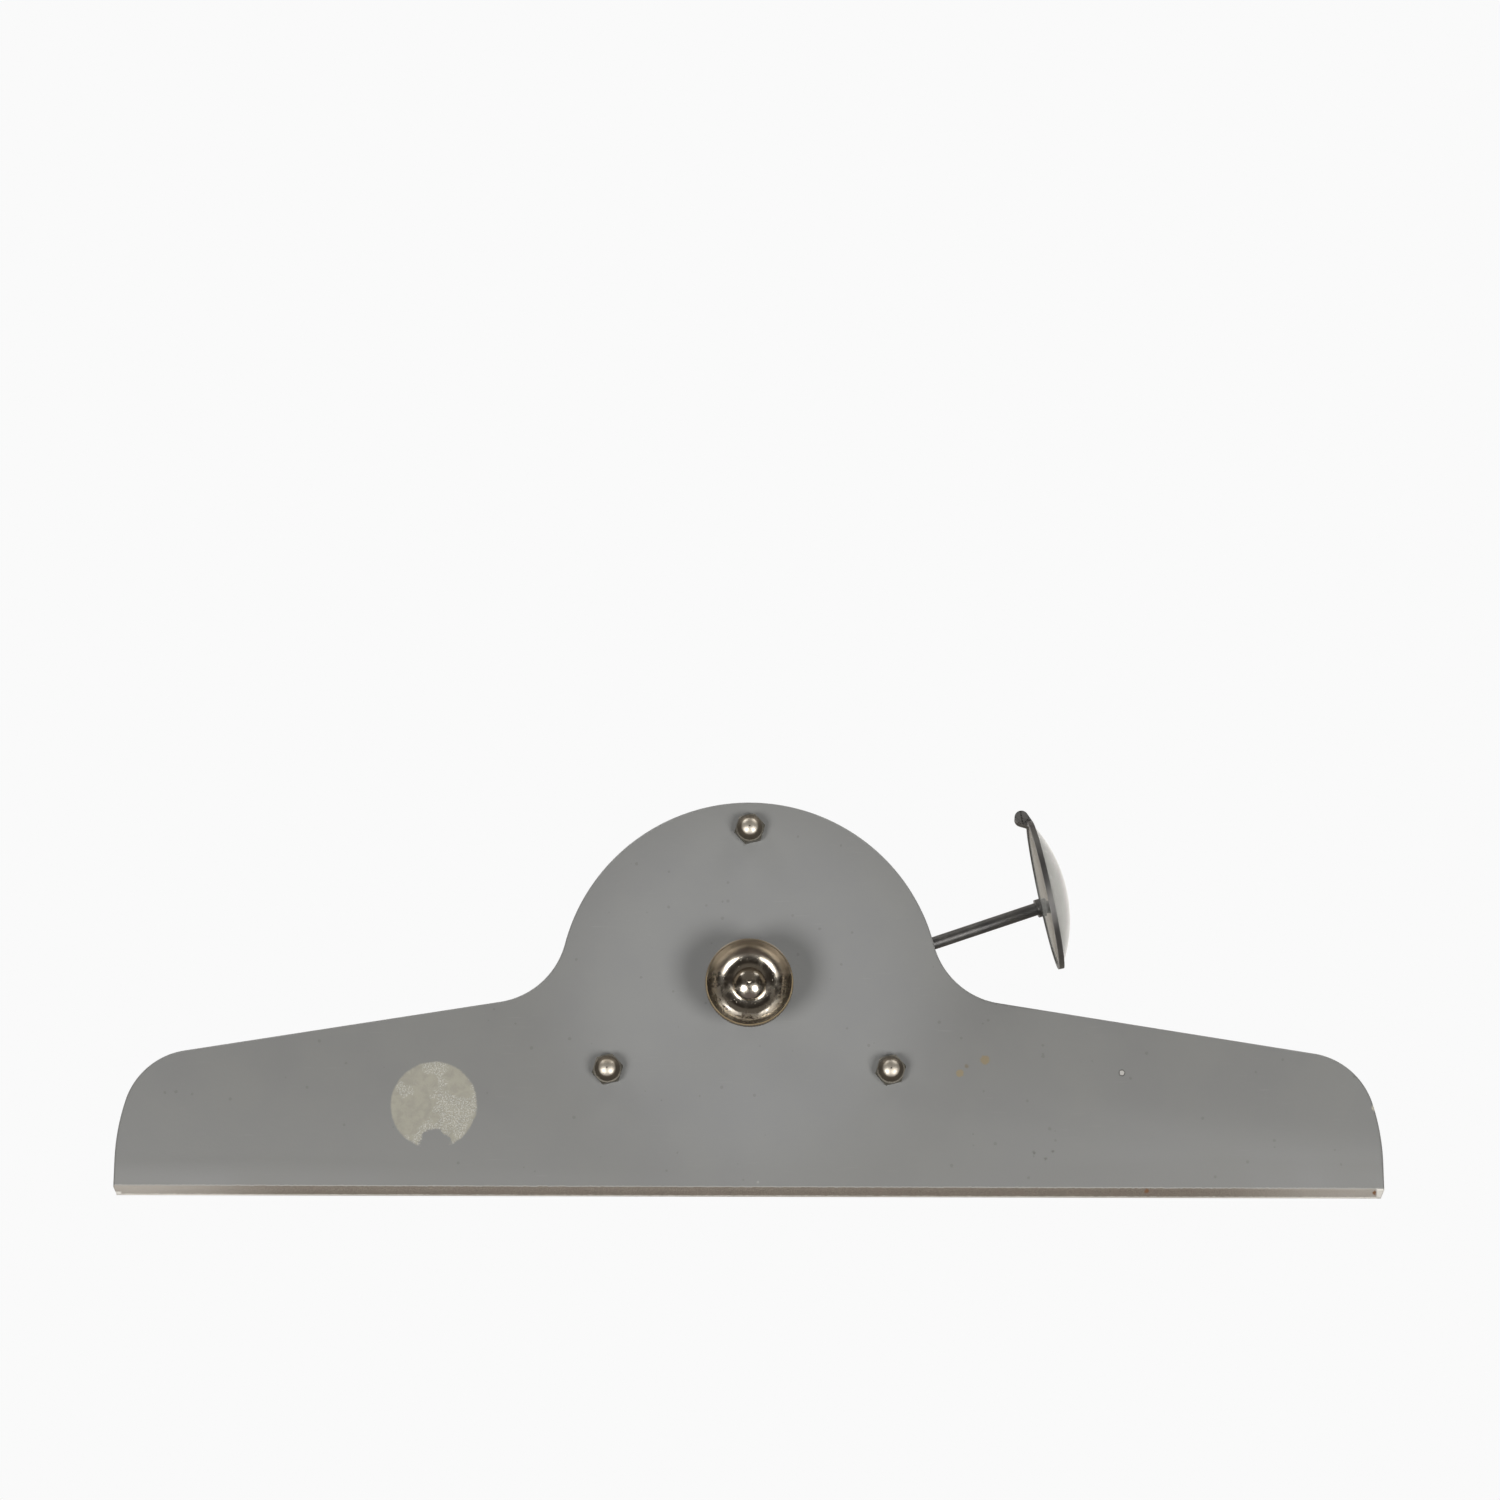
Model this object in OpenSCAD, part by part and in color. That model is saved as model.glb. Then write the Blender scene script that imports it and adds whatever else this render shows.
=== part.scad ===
// Pendulum clinometer on a long machined base, millimetres, +Z up, front face towards -Y.
// The origin is the middle of the base's ground face. Depths are counted from the front face.

/* [Body casting] */
// Length of the base
base_len = 304.8; // [260:0.1:340]
// Depth of the base from front to back
base_depth = 28; // [22:0.5:40]
// Thickness of the base
base_t = 5; // [3:0.1:9]
// Thickness of the face plate
plate_t = 4.5; // [3.5:0.1:7]
// Height of the wings' top line, carried on to the centre line
wing_h = 56.4; // [50:0.1:62]
// Fall of the wings' top line
wing_angle = 9; // [6:0.1:11]
// Radius of the shoulder at each end of the wings
corner_r = 17; // [10:0.5:22]
// Radius of the long curve below each shoulder
side_r = 51.5; // [40:0.5:70]
// Height at which the straight ends turn into that curve
side_z = 8.3; // [6:0.1:12]
// Radius of the hollow between a wing and the round top
fillet_r = 19; // [10:0.5:26]
// Lip of the round top outside the rear cover
lobe_lip = 1.65; // [1:0.05:5]
// Height of the bare bevel along the front of the base
bevel_h = 2.2; // [1:0.1:2.8]
// Depth of that bevel
bevel_d = 1.2; // [0.5:0.1:2]
// Bevel round the base's other edges
edge_bevel = 0.8; // [0.4:0.1:1.5]
// Height of the ribs behind the wings
rib_h = 16; // [8:0.5:22]
// Thickness of the ribs
rib_t = 4; // [2:0.5:6]
// Radius of the cast fillet between the plate and the base
cast_r = 4; // [2:0.5:6]
// Distance of the inner ribs from the centre
rib_inner_x = 72; // [60:1:85]
// Distance of the outer ribs from the centre
rib_outer_x = 118; // [95:1:125]

/* [Dial and vernier] */
// Radius of the divided surfaces
dial_r = 36; // [33:0.5:42]
// Width of the main dial
dial_w = 7; // [5:0.1:7.5]
// Thickness of the main dial's band
dial_t = 0.8; // [0.5:0.1:1.2]
// Gap between the vernier and the main dial
dial_gap = 0.2; // [0.15:0.05:0.6]
// Width of the vernier's divided surface
vernier_w = 3.7; // [3:0.1:5]
// Thickness of the vernier's flange
vernier_flange_t = 1.8; // [1.4:0.1:2.6]
// Thickness of the vernier's band
vernier_band_t = 3; // [1.5:0.1:4]
// Width of the vernier's flange inside its band
vernier_inner_w = 3; // [1:0.5:5]
// Clearance between the vernier and the face plate
vernier_slip = 0.1; // [0.05:0.05:0.3]
// Adjustment of the vernier each way, in degrees
vernier_swing = 1.5; // [0.5:0.1:1.6]
// Width of the index pointer
pointer_w = 1.4; // [0.8:0.1:3]
// Thickness of the index pointer
pointer_t = 0.6; // [0.4:0.05:0.7]
// Reach of the pointer over the main dial
pointer_reach = 2.4; // [1:0.1:4]

/* [Vernier studs and dome nuts] */
// Radius of the stud
stud_r = 1.8; // [1.4:0.1:2.2]
// Radius of the stud's head
stud_head_r = 2.6; // [2.4:0.1:3.4]
// Thickness of the stud's head
stud_head_t = 1.2; // [0.8:0.1:2]
// Gap between the stud's head and the divided surface
stud_dial_gap = 0.8; // [0.75:0.05:2]
// Width of the dome nut across its flats
nut_af = 6.6; // [6:0.1:8]
// Height of the nut's hexagon
nut_hex_h = 2.6; // [1.8:0.1:3.5]
// Radius of the nut's dome at its foot
nut_dome_r = 3.05; // [2.85:0.05:3.2]
// Height of the nut's dome above the hexagon
nut_dome_h = 2.7; // [2.4:0.1:3.2]
// Radius of the curve across the top of the dome
nut_crown_r = 3.6; // [3:0.1:4.5]

/* [Window and rear cover] */
// Wall of the window ring
window_t = 1.5; // [1.2:0.1:3]
// Clearance between the vernier and the window ring
window_gap = 0.4; // [0.3:0.1:2]
// Thickness of the gaskets
gasket_t = 0.5; // [0.3:0.1:1]
// Depth of the groove that holds the window ring in the plate
groove_d = 1; // [0.7:0.1:1.6]
// Wall of the rear cover
cover_t = 1.6; // [1.2:0.1:3]
// Wall of the rear cover's rim outside the window ring
cover_rim_t = 0.9; // [0.9:0.1:2]
// Clearance between the rear cover and the base
cover_base_gap = 0.35; // [0.25:0.05:4]
// Length of the window ring that the cover's rim laps
cover_lap = 1.5; // [1:0.1:2.5]

/* [Spindle and ball races] */
// Radius of the spindle's seat for the races
seat_r = 4; // [3.8:0.1:4.6]
// Radius of the spindle's flange
spindle_flange_r = 10; // [8:0.5:14]
// Thickness of the spindle's flange
spindle_flange_t = 1.5; // [1:0.1:2]
// Radius of the spindle where it goes through the face plate
spigot_r = 5; // [4.2:0.1:5.6]
// Thickness of the nut on the front of the spindle
spindle_nut_t = 2.6; // [1.5:0.1:3]
// Radius of the nut on the front of the spindle
spindle_nut_r = 7.5; // [6.5:0.1:9]
// Width of each race
race_w = 3.2; // [3:0.1:3.6]
// Wall of each race ring
race_wall = 1.4; // [1.2:0.1:1.8]
// Radius of the balls
ball_r = 1.2; // [1:0.1:1.3]
// Distance between the two races
race_gap = 2.2; // [1.5:0.1:3]
// Thickness of the nut that holds the races
race_nut_t = 1.8; // [1.2:0.1:2.5]
// Running clearance of the balls in their grooves
ball_play = 0.05; // [0.03:0.01:0.08]

/* [Drum] */
// Wall of the drum's hub
hub_wall = 2.2; // [1.5:0.1:2.6]
// Thickness of the drum's web
web_t = 1.8; // [1.2:0.1:2]
// Wall of the drum's rim
rim_t = 1.6; // [1:0.1:2.4]
// Thickness of the pendulum weight
weight_t = 4.6; // [2:0.1:5]
// Inner radius of the pendulum weight
weight_r = 17; // [16.5:0.5:20]
// Half of the angle that the pendulum weight covers
weight_half_angle = 60; // [45:1:80]
// Radius of the holes that lighten the web
web_hole_r = 6; // [2:0.5:6.5]

/* [Brake] */
// Travel of the brake from locked to free
brake_travel = 1.2; // [0.6:0.1:1.6]
// Clearance that stands for the brake's lining just touching
brake_touch = 0.05; // [0.02:0.01:0.1]
// Thickness of the brake lining
lining_t = 1; // [0.6:0.1:1.4]
// Width of the brake lining
lining_w = 3; // [2:0.1:3.2]
// Thickness of the brake disc
brake_disc_t = 1; // [0.8:0.1:1.6]
// Length of the brake's hub
brake_hub_len = 3.2; // [3:0.1:5]
// Radius of the cross pin
cross_pin_r = 0.8; // [0.6:0.05:0.9]
// Radius of the push rod
push_rod_r = 1.6; // [1.2:0.1:1.8]
// Radius of the brake spring's wire
spring_wire_r = 0.35; // [0.25:0.05:0.4]
// Number of turns of the brake spring
spring_turns = 3; // [2:0.5:3]

/* [Thumbscrew] */
// Radius of the milled head
knob_r = 10.6; // [10.2:0.1:14]
// Height of the head's rim above the face plate
knob_h = 12.4; // [11:0.1:16]
// Thickness of the milled rim
knob_rim_t = 3; // [2.6:0.1:4]
// Radius of the dome in the middle of the head
knob_dome_r = 4.05; // [3.9:0.05:4.6]
// Depth of the hollow round the dome
knob_hollow = 3.7; // [3.4:0.1:4]
// Radius of the curve along the hollow's floor
knob_floor_r = 3.6; // [3:0.1:4]
// Radius of the curve up the hollow's wall
knob_wall_r = 6; // [5:0.1:7]
// Number of teeth on the milled edge
knob_teeth = 96; // [48:4:108]
// Radius of the collar under the head
collar_r = 4; // [3.4:0.1:5]
// Radius of the screw
screw_r = 2.5; // [2:0.1:3.2]
// Depth of the screw's tip behind the front face
screw_tip_d = 5; // [3:0.1:6]

/* [Lens arm] */
// Angle of the arm above the horizontal, at rest
arm_angle = 18.75; // [14:0.25:150]
// Distance of the lens from the drum's axis
lens_dist = 77; // [70:0.5:95]
// Depth of the lens's centre behind the front face
lens_depth = 8; // [5:0.5:9]
// Turn of the lens out of square to its arm
lens_cant = 7; // [0:0.5:8]
// Lean of the lens towards the front
lens_lean = 3.4; // [0:0.2:5]
// Radius of the lens
lens_r = 18; // [16:0.5:19]
// Thickness of the lens at its edge
lens_edge_t = 0.8; // [0.6:0.1:1]
// Bulge of the lens on the side away from the drum
lens_bulge = 5; // [2:0.1:6]
// Width of the lens ring
ring_w = 1.3; // [1.1:0.1:2.5]
// Thickness of the lens ring outside the lens
ring_t = 0.6; // [0.5:0.1:1.2]
// Radius of the arm's rod
rod_r = 1.6; // [1.2:0.1:2]
// Wall of the lens ring's socket round the rod
socket_wall = 0.7; // [0.6:0.1:1]
// Depth of the arm's hub from front to back
arm_hub_t = 6.4; // [6:0.1:8]
// Wall of the arm's hub
arm_hub_wall = 4.4; // [3:0.1:6]
// Radius of the journal that the arm turns on
journal_r = 8; // [7:0.1:10]
// Thickness of the washer that the arm rubs on
arm_washer_t = 0.6; // [0.4:0.1:1]
// Thickness of the plate that keeps the arm on
keeper_t = 1.2; // [0.8:0.1:2]
// Radius of the eyes that close the lens ring
eye_r = 1.7; // [1.3:0.05:2]
// Length of the two eyes together
eye_len = 4; // [3:0.1:6]

/* [Fits] */
// Radial clearance of a piece that is fixed on another
fix_fit = 0.02; // [0.01:0.01:0.03]
// Radial clearance of a piece that turns or slides on another
run_fit = 0.05; // [0.02:0.01:0.1]
// Gap between pieces that must not touch as they turn
free_gap = 0.2; // [0.15:0.05:0.3]

/* [Hidden] */
$fn = 96;
cut = 1;
arc_step = 2;
front_y = -base_depth / 2;

// Radii, from the dial outwards
stud_circle_r = dial_r + stud_dial_gap + stud_head_r;
vernier_r = stud_circle_r + stud_head_r - 0.2;
groove_play = 0.05;
window_r_in = vernier_r + window_gap;
window_r = window_r_in + window_t;
cover_r = window_r + groove_play + cover_rim_t;
cover_inner_r = window_r_in - 1;
lobe_r = cover_r + lobe_lip;
axis_h = base_t + cover_base_gap + cover_r;

// Depths, from the front face to the back
vernier_d = plate_t + vernier_slip;
vernier_band_d = vernier_d + vernier_flange_t;
vernier_end_d = vernier_band_d + vernier_w;
dial_d = vernier_end_d + dial_gap;
dial_end_d = dial_d + dial_w;
spindle_flange_d = plate_t + spindle_flange_t;
front_race_d = spindle_flange_d + 0.8;
spacer_d = front_race_d + race_w;
rear_race_d = spacer_d + race_gap;
race_nut_d = rear_race_d + race_w;
brake_d = race_nut_d + race_nut_t + free_gap;
brake_end_d = brake_d + brake_hub_len;
cover_d = brake_end_d + brake_travel + 0.8;
cover_back_d = cover_d + cover_t;
arm_d = cover_back_d + arm_washer_t + arm_hub_t / 2;
web_d = spacer_d + (race_gap - web_t) / 2 + 0.8;
web_back_d = web_d + web_t;
groove_floor_d = plate_t - groove_d;
window_d = groove_floor_d + gasket_t;
cover_floor_d = cover_d - cover_t;
window_end_d = cover_floor_d - gasket_t;

// Races and drum
race_in_r = seat_r + race_wall;
ball_pitch_r = race_in_r + ball_r / 2;
race_out_r = ball_pitch_r + ball_r / 2;
race_r = race_out_r + race_wall;
ball_count = floor(180 / asin((ball_r + 0.04) / ball_pitch_r));
hub_r = race_r + hub_wall;
hub_step = 0.8;
drum_r = dial_r - dial_t;
drum_inner_r = drum_r - rim_t;
weight_screw_r = 1.25;
weight_screw_at = (weight_r + drum_inner_r) / 2;

// Brake
brake_hub_r = 6.5;
guide_r = seat_r - 0.5;
lining_r = hub_r + 0.8;
cross_pin_d = brake_d + brake_disc_t + 1;
push_rod_end_d = cross_pin_d - cross_pin_r;
spring_r = brake_hub_r + spring_wire_r + 0.6;
rear_spigot_r = 3;

// Thumbscrew
collar_h = spindle_nut_t + 0.4 + brake_travel;
rim_cone = 2.4;
rim_bevel = 0.27;
lip_w = 0.3;
dimple_r = 0.4;
wall_slope = 60;
floor_slope = 37;
foot_slope = 16;
crown = [5.3, 24];
flank = [7.5, 38];
nut_turn = 17;
nut_slopes = [25, 80];
tooth_d = 0.2;

// Lens and arm
rod_start = journal_r + 1;
arm_hub_r = journal_r + arm_hub_wall;
arm_socket_r = arm_hub_t / 2;
arm_socket_len = 4.6;
set_screw_r = 1;
pointer_foot_w = 2 * stud_head_r - 0.4;
pointer_in_r = dial_r + (stud_dial_gap - pointer_t) / 2;
keeper_d = arm_d + arm_hub_t / 2 + run_fit;
keeper_screw_r = 1.5;
spanner_hole_r = 0.8;
spanner_hole_at = 5.2;
ring_r = lens_r + ring_t;
eye_at = [ring_r + 1.3, -1.6];
eye_root_r = 0.9;
split = 0.6;
clamp_screw_r = 0.8;

// Points along an arc; skip leaves out the first one, where another arc already ends
function arc(c, r, a0, a1, skip = 0) =
    let (n = ceil(abs(a1 - a0) / arc_step))
    [for (i = [skip : n]) c + r * [cos(a0 + (a1 - a0) * i / n), sin(a0 + (a1 - a0) * i / n)]];

// Points along arcs that follow one another inwards: each is [radius, first slope, last slope],
// with a negative radius where it curves over
function follow(p, arcs, i = 0) = i == len(arcs) ? [] : let (
        r = arcs[i][0], a0 = arcs[i][1], a1 = arcs[i][2],
        n = ceil(abs(a1 - a0) / arc_step),
        step = [for (k = [1 : n]) let (a = a0 + (a1 - a0) * k / n) p + r * [sin(a) - sin(a0), cos(a0) - cos(a)]]
    ) concat(step, follow(step[n - 1], arcs, i + 1));

// Radius of the circle with this half chord and this rise
function cap_r(half, rise) = (half * half + rise * rise) / (2 * rise);

// A point t along the wing's top line and s above it
wing_u = [cos(wing_angle), -sin(wing_angle)];
wing_n = [sin(wing_angle), cos(wing_angle)];
wing_s = wing_h * cos(wing_angle);
function wing_at(t, s) = t * wing_u + (wing_s + s) * wing_n;

// Centre of the circle of radius r that touches the wing line on side s and lies dist from c
function wing_circle(c, s, dist) =
    wing_at(c * wing_u + sqrt(dist * dist - pow(wing_s + s - c * wing_n, 2)), s);

lobe_c = [0, axis_h];
side_c = [base_len / 2 - side_r, side_z];
corner_c = wing_circle(side_c, -corner_r, side_r - corner_r);
hollow_c = wing_circle(lobe_c, fillet_r, lobe_r + fillet_r);
side_turn = atan2(corner_c[1] - side_c[1], corner_c[0] - side_c[0]);
lobe_turn = atan2(hollow_c[1] - lobe_c[1], hollow_c[0] - lobe_c[0]);

plate_right = concat(
    [[base_len / 2, 0]],
    arc(side_c, side_r, 0, side_turn),
    arc(corner_c, corner_r, side_turn, 90 - wing_angle, 1),
    arc(hollow_c, fillet_r, 270 - wing_angle, 180 + lobe_turn),
    arc(lobe_c, lobe_r, lobe_turn, 90, 1)
);
plate_left = [for (i = [len(plate_right) - 2 : -1 : 0]) [-plate_right[i][0], plate_right[i][1]]];

// The drum's axis: local +Z points to the back, and local +X to the right
module on_axis(d = 0) {
    translate([0, front_y + d, axis_h]) rotate([-90, 0, 0]) children();
}

// The same axis, with local +Z to the front, from a height above the face
module on_face(h = 0) {
    translate([0, front_y - h, axis_h]) rotate([90, 0, 0]) children();
}

// A plain ring or disc between two depths
module ring(d0, d1, r_out, r_in = 0) {
    on_axis(d0) difference() {
        cylinder(r = r_out, h = d1 - d0);
        if (r_in > 0) translate([0, 0, -cut]) cylinder(r = r_in, h = d1 - d0 + 2 * cut);
    }
}

// What repeats at the three studs: top, lower left and lower right
module at_studs(d = 0) {
    on_axis(d) for (a = [0, 120, 240]) rotate([0, 0, a - 90]) translate([stud_circle_r, 0, 0]) children();
}

// The lens arm: local +X runs out along the arm, and local +Z points to the back
module on_arm() {
    on_axis(arm_d) rotate([0, 0, -arm_angle]) children();
}

// The lens: local +Z points away from the drum, and local +X to the front
module on_lens() {
    on_arm() translate([lens_dist, 0, lens_depth - arm_d])
        rotate([0, 0, lens_cant]) rotate([0, lens_lean, 0]) rotate([0, 90, 0]) children();
}

module box(x, y, z) {
    translate([x[0], y[0], z[0]]) cube([x[1] - x[0], y[1] - y[0], z[1] - z[0]]);
}

module plate() {
    translate([0, front_y + plate_t, 0]) rotate([90, 0, 0])
        linear_extrude(plate_t) polygon(concat(plate_right, plate_left));
}

module rib(x) {
    translate([x - rib_t / 2, front_y + plate_t - 0.5, base_t - 0.5]) rotate([90, 0, 90])
        linear_extrude(rib_t) polygon([[0, 0], [base_depth - plate_t - 2, 0], [0.5, rib_h], [0, rib_h]]);
}

// The cast fillet behind the plate, on the side s, clear of the drum's housing
module cast_fillet(s) {
    x0 = sqrt(cover_r * cover_r - pow(axis_h - base_t - cast_r, 2)) + 4;
    len = base_len / 2 - edge_bevel - x0;
    translate([s > 0 ? x0 : -x0 - len, front_y + plate_t, base_t]) rotate([90, 0, 90]) linear_extrude(len)
        polygon(concat([[-0.5, -0.5], [cast_r, -0.5]],
            [for (a = [0 : 15 : 90]) [cast_r * (1 - sin(a)), cast_r * (1 - cos(a))]],
            [[-0.5, cast_r]]));
}

// Bevels round the foot of the base, taller along the front
module base_bevels() {
    half = base_len / 2;
    translate([-half - cut, front_y, 0]) rotate([90, 0, 90]) linear_extrude(base_len + 2 * cut)
        polygon([[-cut, -cut], [bevel_d, -cut], [bevel_d, 0], [0, bevel_h], [-cut, bevel_h]]);
    translate([-half - cut, -front_y, 0]) rotate([90, 0, 90]) linear_extrude(base_len + 2 * cut)
        polygon([[cut, -cut], [-edge_bevel, -cut], [-edge_bevel, 0], [0, edge_bevel], [cut, edge_bevel]]);
    for (s = [-1, 1]) translate([s * half, -front_y + cut, 0]) rotate([90, 0, 0])
        linear_extrude(base_depth + 2 * cut)
            polygon([[s * cut, -cut], [-s * edge_bevel, -cut], [-s * edge_bevel, 0],
                [0, bevel_h], [s * cut, bevel_h]]);
}

// A slot along the stud circle, as long as the vernier's adjustment
module stud_slot() {
    run = stud_circle_r * sin(vernier_swing);
    r = stud_r + 2 * run_fit;
    for (s = [-1, 1]) translate([0, s * run, 0]) cylinder(r = r, h = plate_t + 2 * cut);
    translate([-r, -run, 0]) cube([2 * r, 2 * run, plate_t + 2 * cut]);
}

module body_casting() {
    color([0.55, 0.55, 0.54]) difference() {
        union() {
            plate();
            box([-base_len / 2, base_len / 2], [front_y + plate_t - 0.5, -front_y], [0, base_t]);
            for (s = [-1, 1], x = [rib_inner_x, rib_outer_x]) rib(s * x);
            for (s = [-1, 1]) cast_fillet(s);
        }
        base_bevels();
        on_axis(-cut) cylinder(r = spigot_r + fix_fit, h = plate_t + 2 * cut);
        ring(groove_floor_d, plate_t + cut, window_r + groove_play, window_r_in - groove_play);
        at_studs(-cut) stud_slot();
    }
}

module spindle() {
    slot_len = brake_travel + 2 * cross_pin_r + 0.2;
    slot_w = 2 * (cross_pin_r + run_fit);
    color([0.72, 0.71, 0.69]) difference() {
        union() {
            on_face(spindle_nut_t) mirror([0, 0, 1]) cylinder(r = spigot_r, h = spindle_nut_t + plate_t);
            ring(plate_t, spindle_flange_d, spindle_flange_r);
            ring(spindle_flange_d - 0.1, front_race_d, race_in_r - 0.4);
            ring(front_race_d - 0.1, race_nut_d + race_nut_t, seat_r);
            ring(race_nut_d + race_nut_t - 0.1, cover_d, guide_r);
            ring(cover_d - 0.1, arm_d + 0.2, rear_spigot_r);
        }
        on_face(spindle_nut_t + cut) mirror([0, 0, 1])
            cylinder(r = screw_r + run_fit, h = spindle_nut_t + cut + screw_tip_d + brake_travel + 0.6);
        on_axis(screw_tip_d) cylinder(r = push_rod_r + run_fit, h = push_rod_end_d + slot_len - screw_tip_d);
        on_axis(push_rod_end_d - 0.1)
            translate([-slot_w / 2, -seat_r - cut, 0]) cube([slot_w, 2 * (seat_r + cut), slot_len]);
    }
}

module spindle_nut() {
    color([0.62, 0.6, 0.56]) on_face() difference() {
        cylinder(r = spindle_nut_r, h = spindle_nut_t);
        translate([0, 0, -cut]) cylinder(r = spigot_r + fix_fit, h = spindle_nut_t + 2 * cut);
        for (s = [-1, 1]) translate([s * spindle_nut_r - 0.9, -spindle_nut_r, 0.8])
            cube([1.8, 2 * spindle_nut_r, spindle_nut_t]);
    }
}

// The groove that the balls run in
module ball_groove(d) {
    on_axis(d + race_w / 2) rotate_extrude() translate([ball_pitch_r, 0]) circle(r = ball_r + ball_play);
}

module race_inner(d) {
    color([0.7, 0.7, 0.7]) difference() {
        ring(d, d + race_w, race_in_r, seat_r + fix_fit);
        ball_groove(d);
    }
}

module race_outer(d) {
    color([0.7, 0.7, 0.7]) difference() {
        ring(d, d + race_w, race_r, race_out_r);
        ball_groove(d);
    }
}

module race_balls(d) {
    color([0.8, 0.8, 0.8]) on_axis(d + race_w / 2)
        for (i = [0 : ball_count - 1]) rotate([0, 0, i * 360 / ball_count])
            translate([ball_pitch_r, 0, 0]) sphere(r = ball_r);
}

module race_spacer() {
    color([0.78, 0.65, 0.38]) ring(spacer_d, rear_race_d, race_in_r - 0.2, seat_r + fix_fit);
}

module race_nut() {
    color([0.62, 0.6, 0.56]) on_axis(race_nut_d) difference() {
        cylinder(r = race_in_r + 0.9, h = race_nut_t, $fn = 6);
        translate([0, 0, -cut]) cylinder(r = seat_r + fix_fit, h = race_nut_t + 2 * cut);
    }
}

module drum() {
    lip = 0.5;
    color([0.75, 0.75, 0.76]) difference() {
        union() {
            ring(dial_d, dial_end_d + lip, drum_r, drum_inner_r);
            ring(dial_end_d, dial_end_d + lip, dial_r - 0.1, drum_inner_r);
            ring(web_d, web_back_d, drum_inner_r + 0.5);
            ring(front_race_d, rear_race_d + race_w, hub_r);
        }
        on_axis(front_race_d - cut) cylinder(r = race_r + fix_fit, h = race_w + cut);
        on_axis(front_race_d) cylinder(r = race_r - hub_step, h = race_gap + 2 * race_w);
        on_axis(rear_race_d) cylinder(r = race_r + fix_fit, h = race_w + cut);
        on_axis(web_d - cut) for (a = [180, 270, 360]) rotate([0, 0, a])
            translate([weight_screw_at, 0, 0]) cylinder(r = web_hole_r, h = web_t + 2 * cut);
        weight_screw_holes(web_d - cut, web_t + 2 * cut);
    }
}

// The two places where screws hold the weight to the web
module at_weight_screws(d) {
    on_axis(d) for (s = [-1, 1]) rotate([0, 0, 90 + s * weight_half_angle / 2])
        translate([weight_screw_at, 0, 0]) children();
}

module weight_screw_holes(d, h) {
    at_weight_screws(d) cylinder(r = weight_screw_r + fix_fit, h = h);
}

module main_dial() {
    color([0.9, 0.89, 0.84]) ring(dial_d, dial_end_d - fix_fit, dial_r, drum_r + fix_fit);
}

module pendulum_weight() {
    color([0.72, 0.58, 0.3]) difference() {
        on_axis(web_back_d) rotate([0, 0, 90 - weight_half_angle])
            rotate_extrude(angle = 2 * weight_half_angle)
                translate([weight_r, 0]) square([drum_inner_r - 0.2 - weight_r, weight_t]);
        weight_screw_holes(web_back_d - cut, weight_t - 1 + cut);
    }
}

module weight_screws() {
    color([0.62, 0.6, 0.56]) at_weight_screws(web_d) {
        cylinder(r = weight_screw_r, h = web_t + weight_t - 1.2);
        translate([0, 0, -1]) difference() {
            cylinder(r = 2 * weight_screw_r, h = 1);
            translate([-3, -0.25, -cut]) cube([6, 0.5, cut + 0.4]);
        }
    }
}

module vernier_ring() {
    color([0.9, 0.89, 0.84]) difference() {
        union() {
            ring(vernier_d, vernier_band_d, vernier_r, dial_r - vernier_band_t - vernier_inner_w);
            ring(vernier_d, vernier_end_d, dial_r, dial_r - vernier_band_t);
        }
        at_studs(vernier_d - cut) cylinder(r = stud_r + fix_fit, h = vernier_flange_t + 2 * cut);
        on_axis(vernier_band_d - pointer_t) rotate([0, 0, -90])
            translate([pointer_in_r - fix_fit, -pointer_foot_w / 2 - fix_fit, 0])
                cube([vernier_r, pointer_foot_w + 2 * fix_fit, pointer_t + 0.01]);
    }
}

// A bent strip: its foot lies under the top stud's head, and its point over the main dial
module index_pointer() {
    tip = dial_d + pointer_reach - vernier_band_d;
    color([0.12, 0.12, 0.13]) on_axis(vernier_band_d) rotate([0, 0, -90]) difference() {
        union() {
            translate([pointer_in_r, -pointer_foot_w / 2, -pointer_t])
                cube([vernier_r - 0.2 - pointer_in_r, pointer_foot_w, pointer_t]);
            translate([pointer_in_r, 0, 0]) rotate([90, 0, 90]) linear_extrude(pointer_t)
                polygon([[-pointer_w / 2, -pointer_t], [pointer_w / 2, -pointer_t],
                    [pointer_w / 2, tip - 2.2], [0.05, tip], [-0.05, tip], [-pointer_w / 2, tip - 2.2]]);
        }
        translate([stud_circle_r, 0, -pointer_t - cut])
            cylinder(r = stud_r + fix_fit, h = pointer_t + 2 * cut);
    }
}

module vernier_studs() {
    stud_top = nut_hex_h + 1;
    color([0.62, 0.6, 0.56]) {
        at_studs(-stud_top) cylinder(r = stud_r, h = stud_top + vernier_band_d + 0.1);
        at_studs(vernier_band_d) difference() {
            cylinder(r = stud_head_r, h = stud_head_t);
            translate([-stud_head_r, -0.3, stud_head_t - 0.5]) cube([2 * stud_head_r, 0.6, 1]);
        }
    }
}

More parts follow.
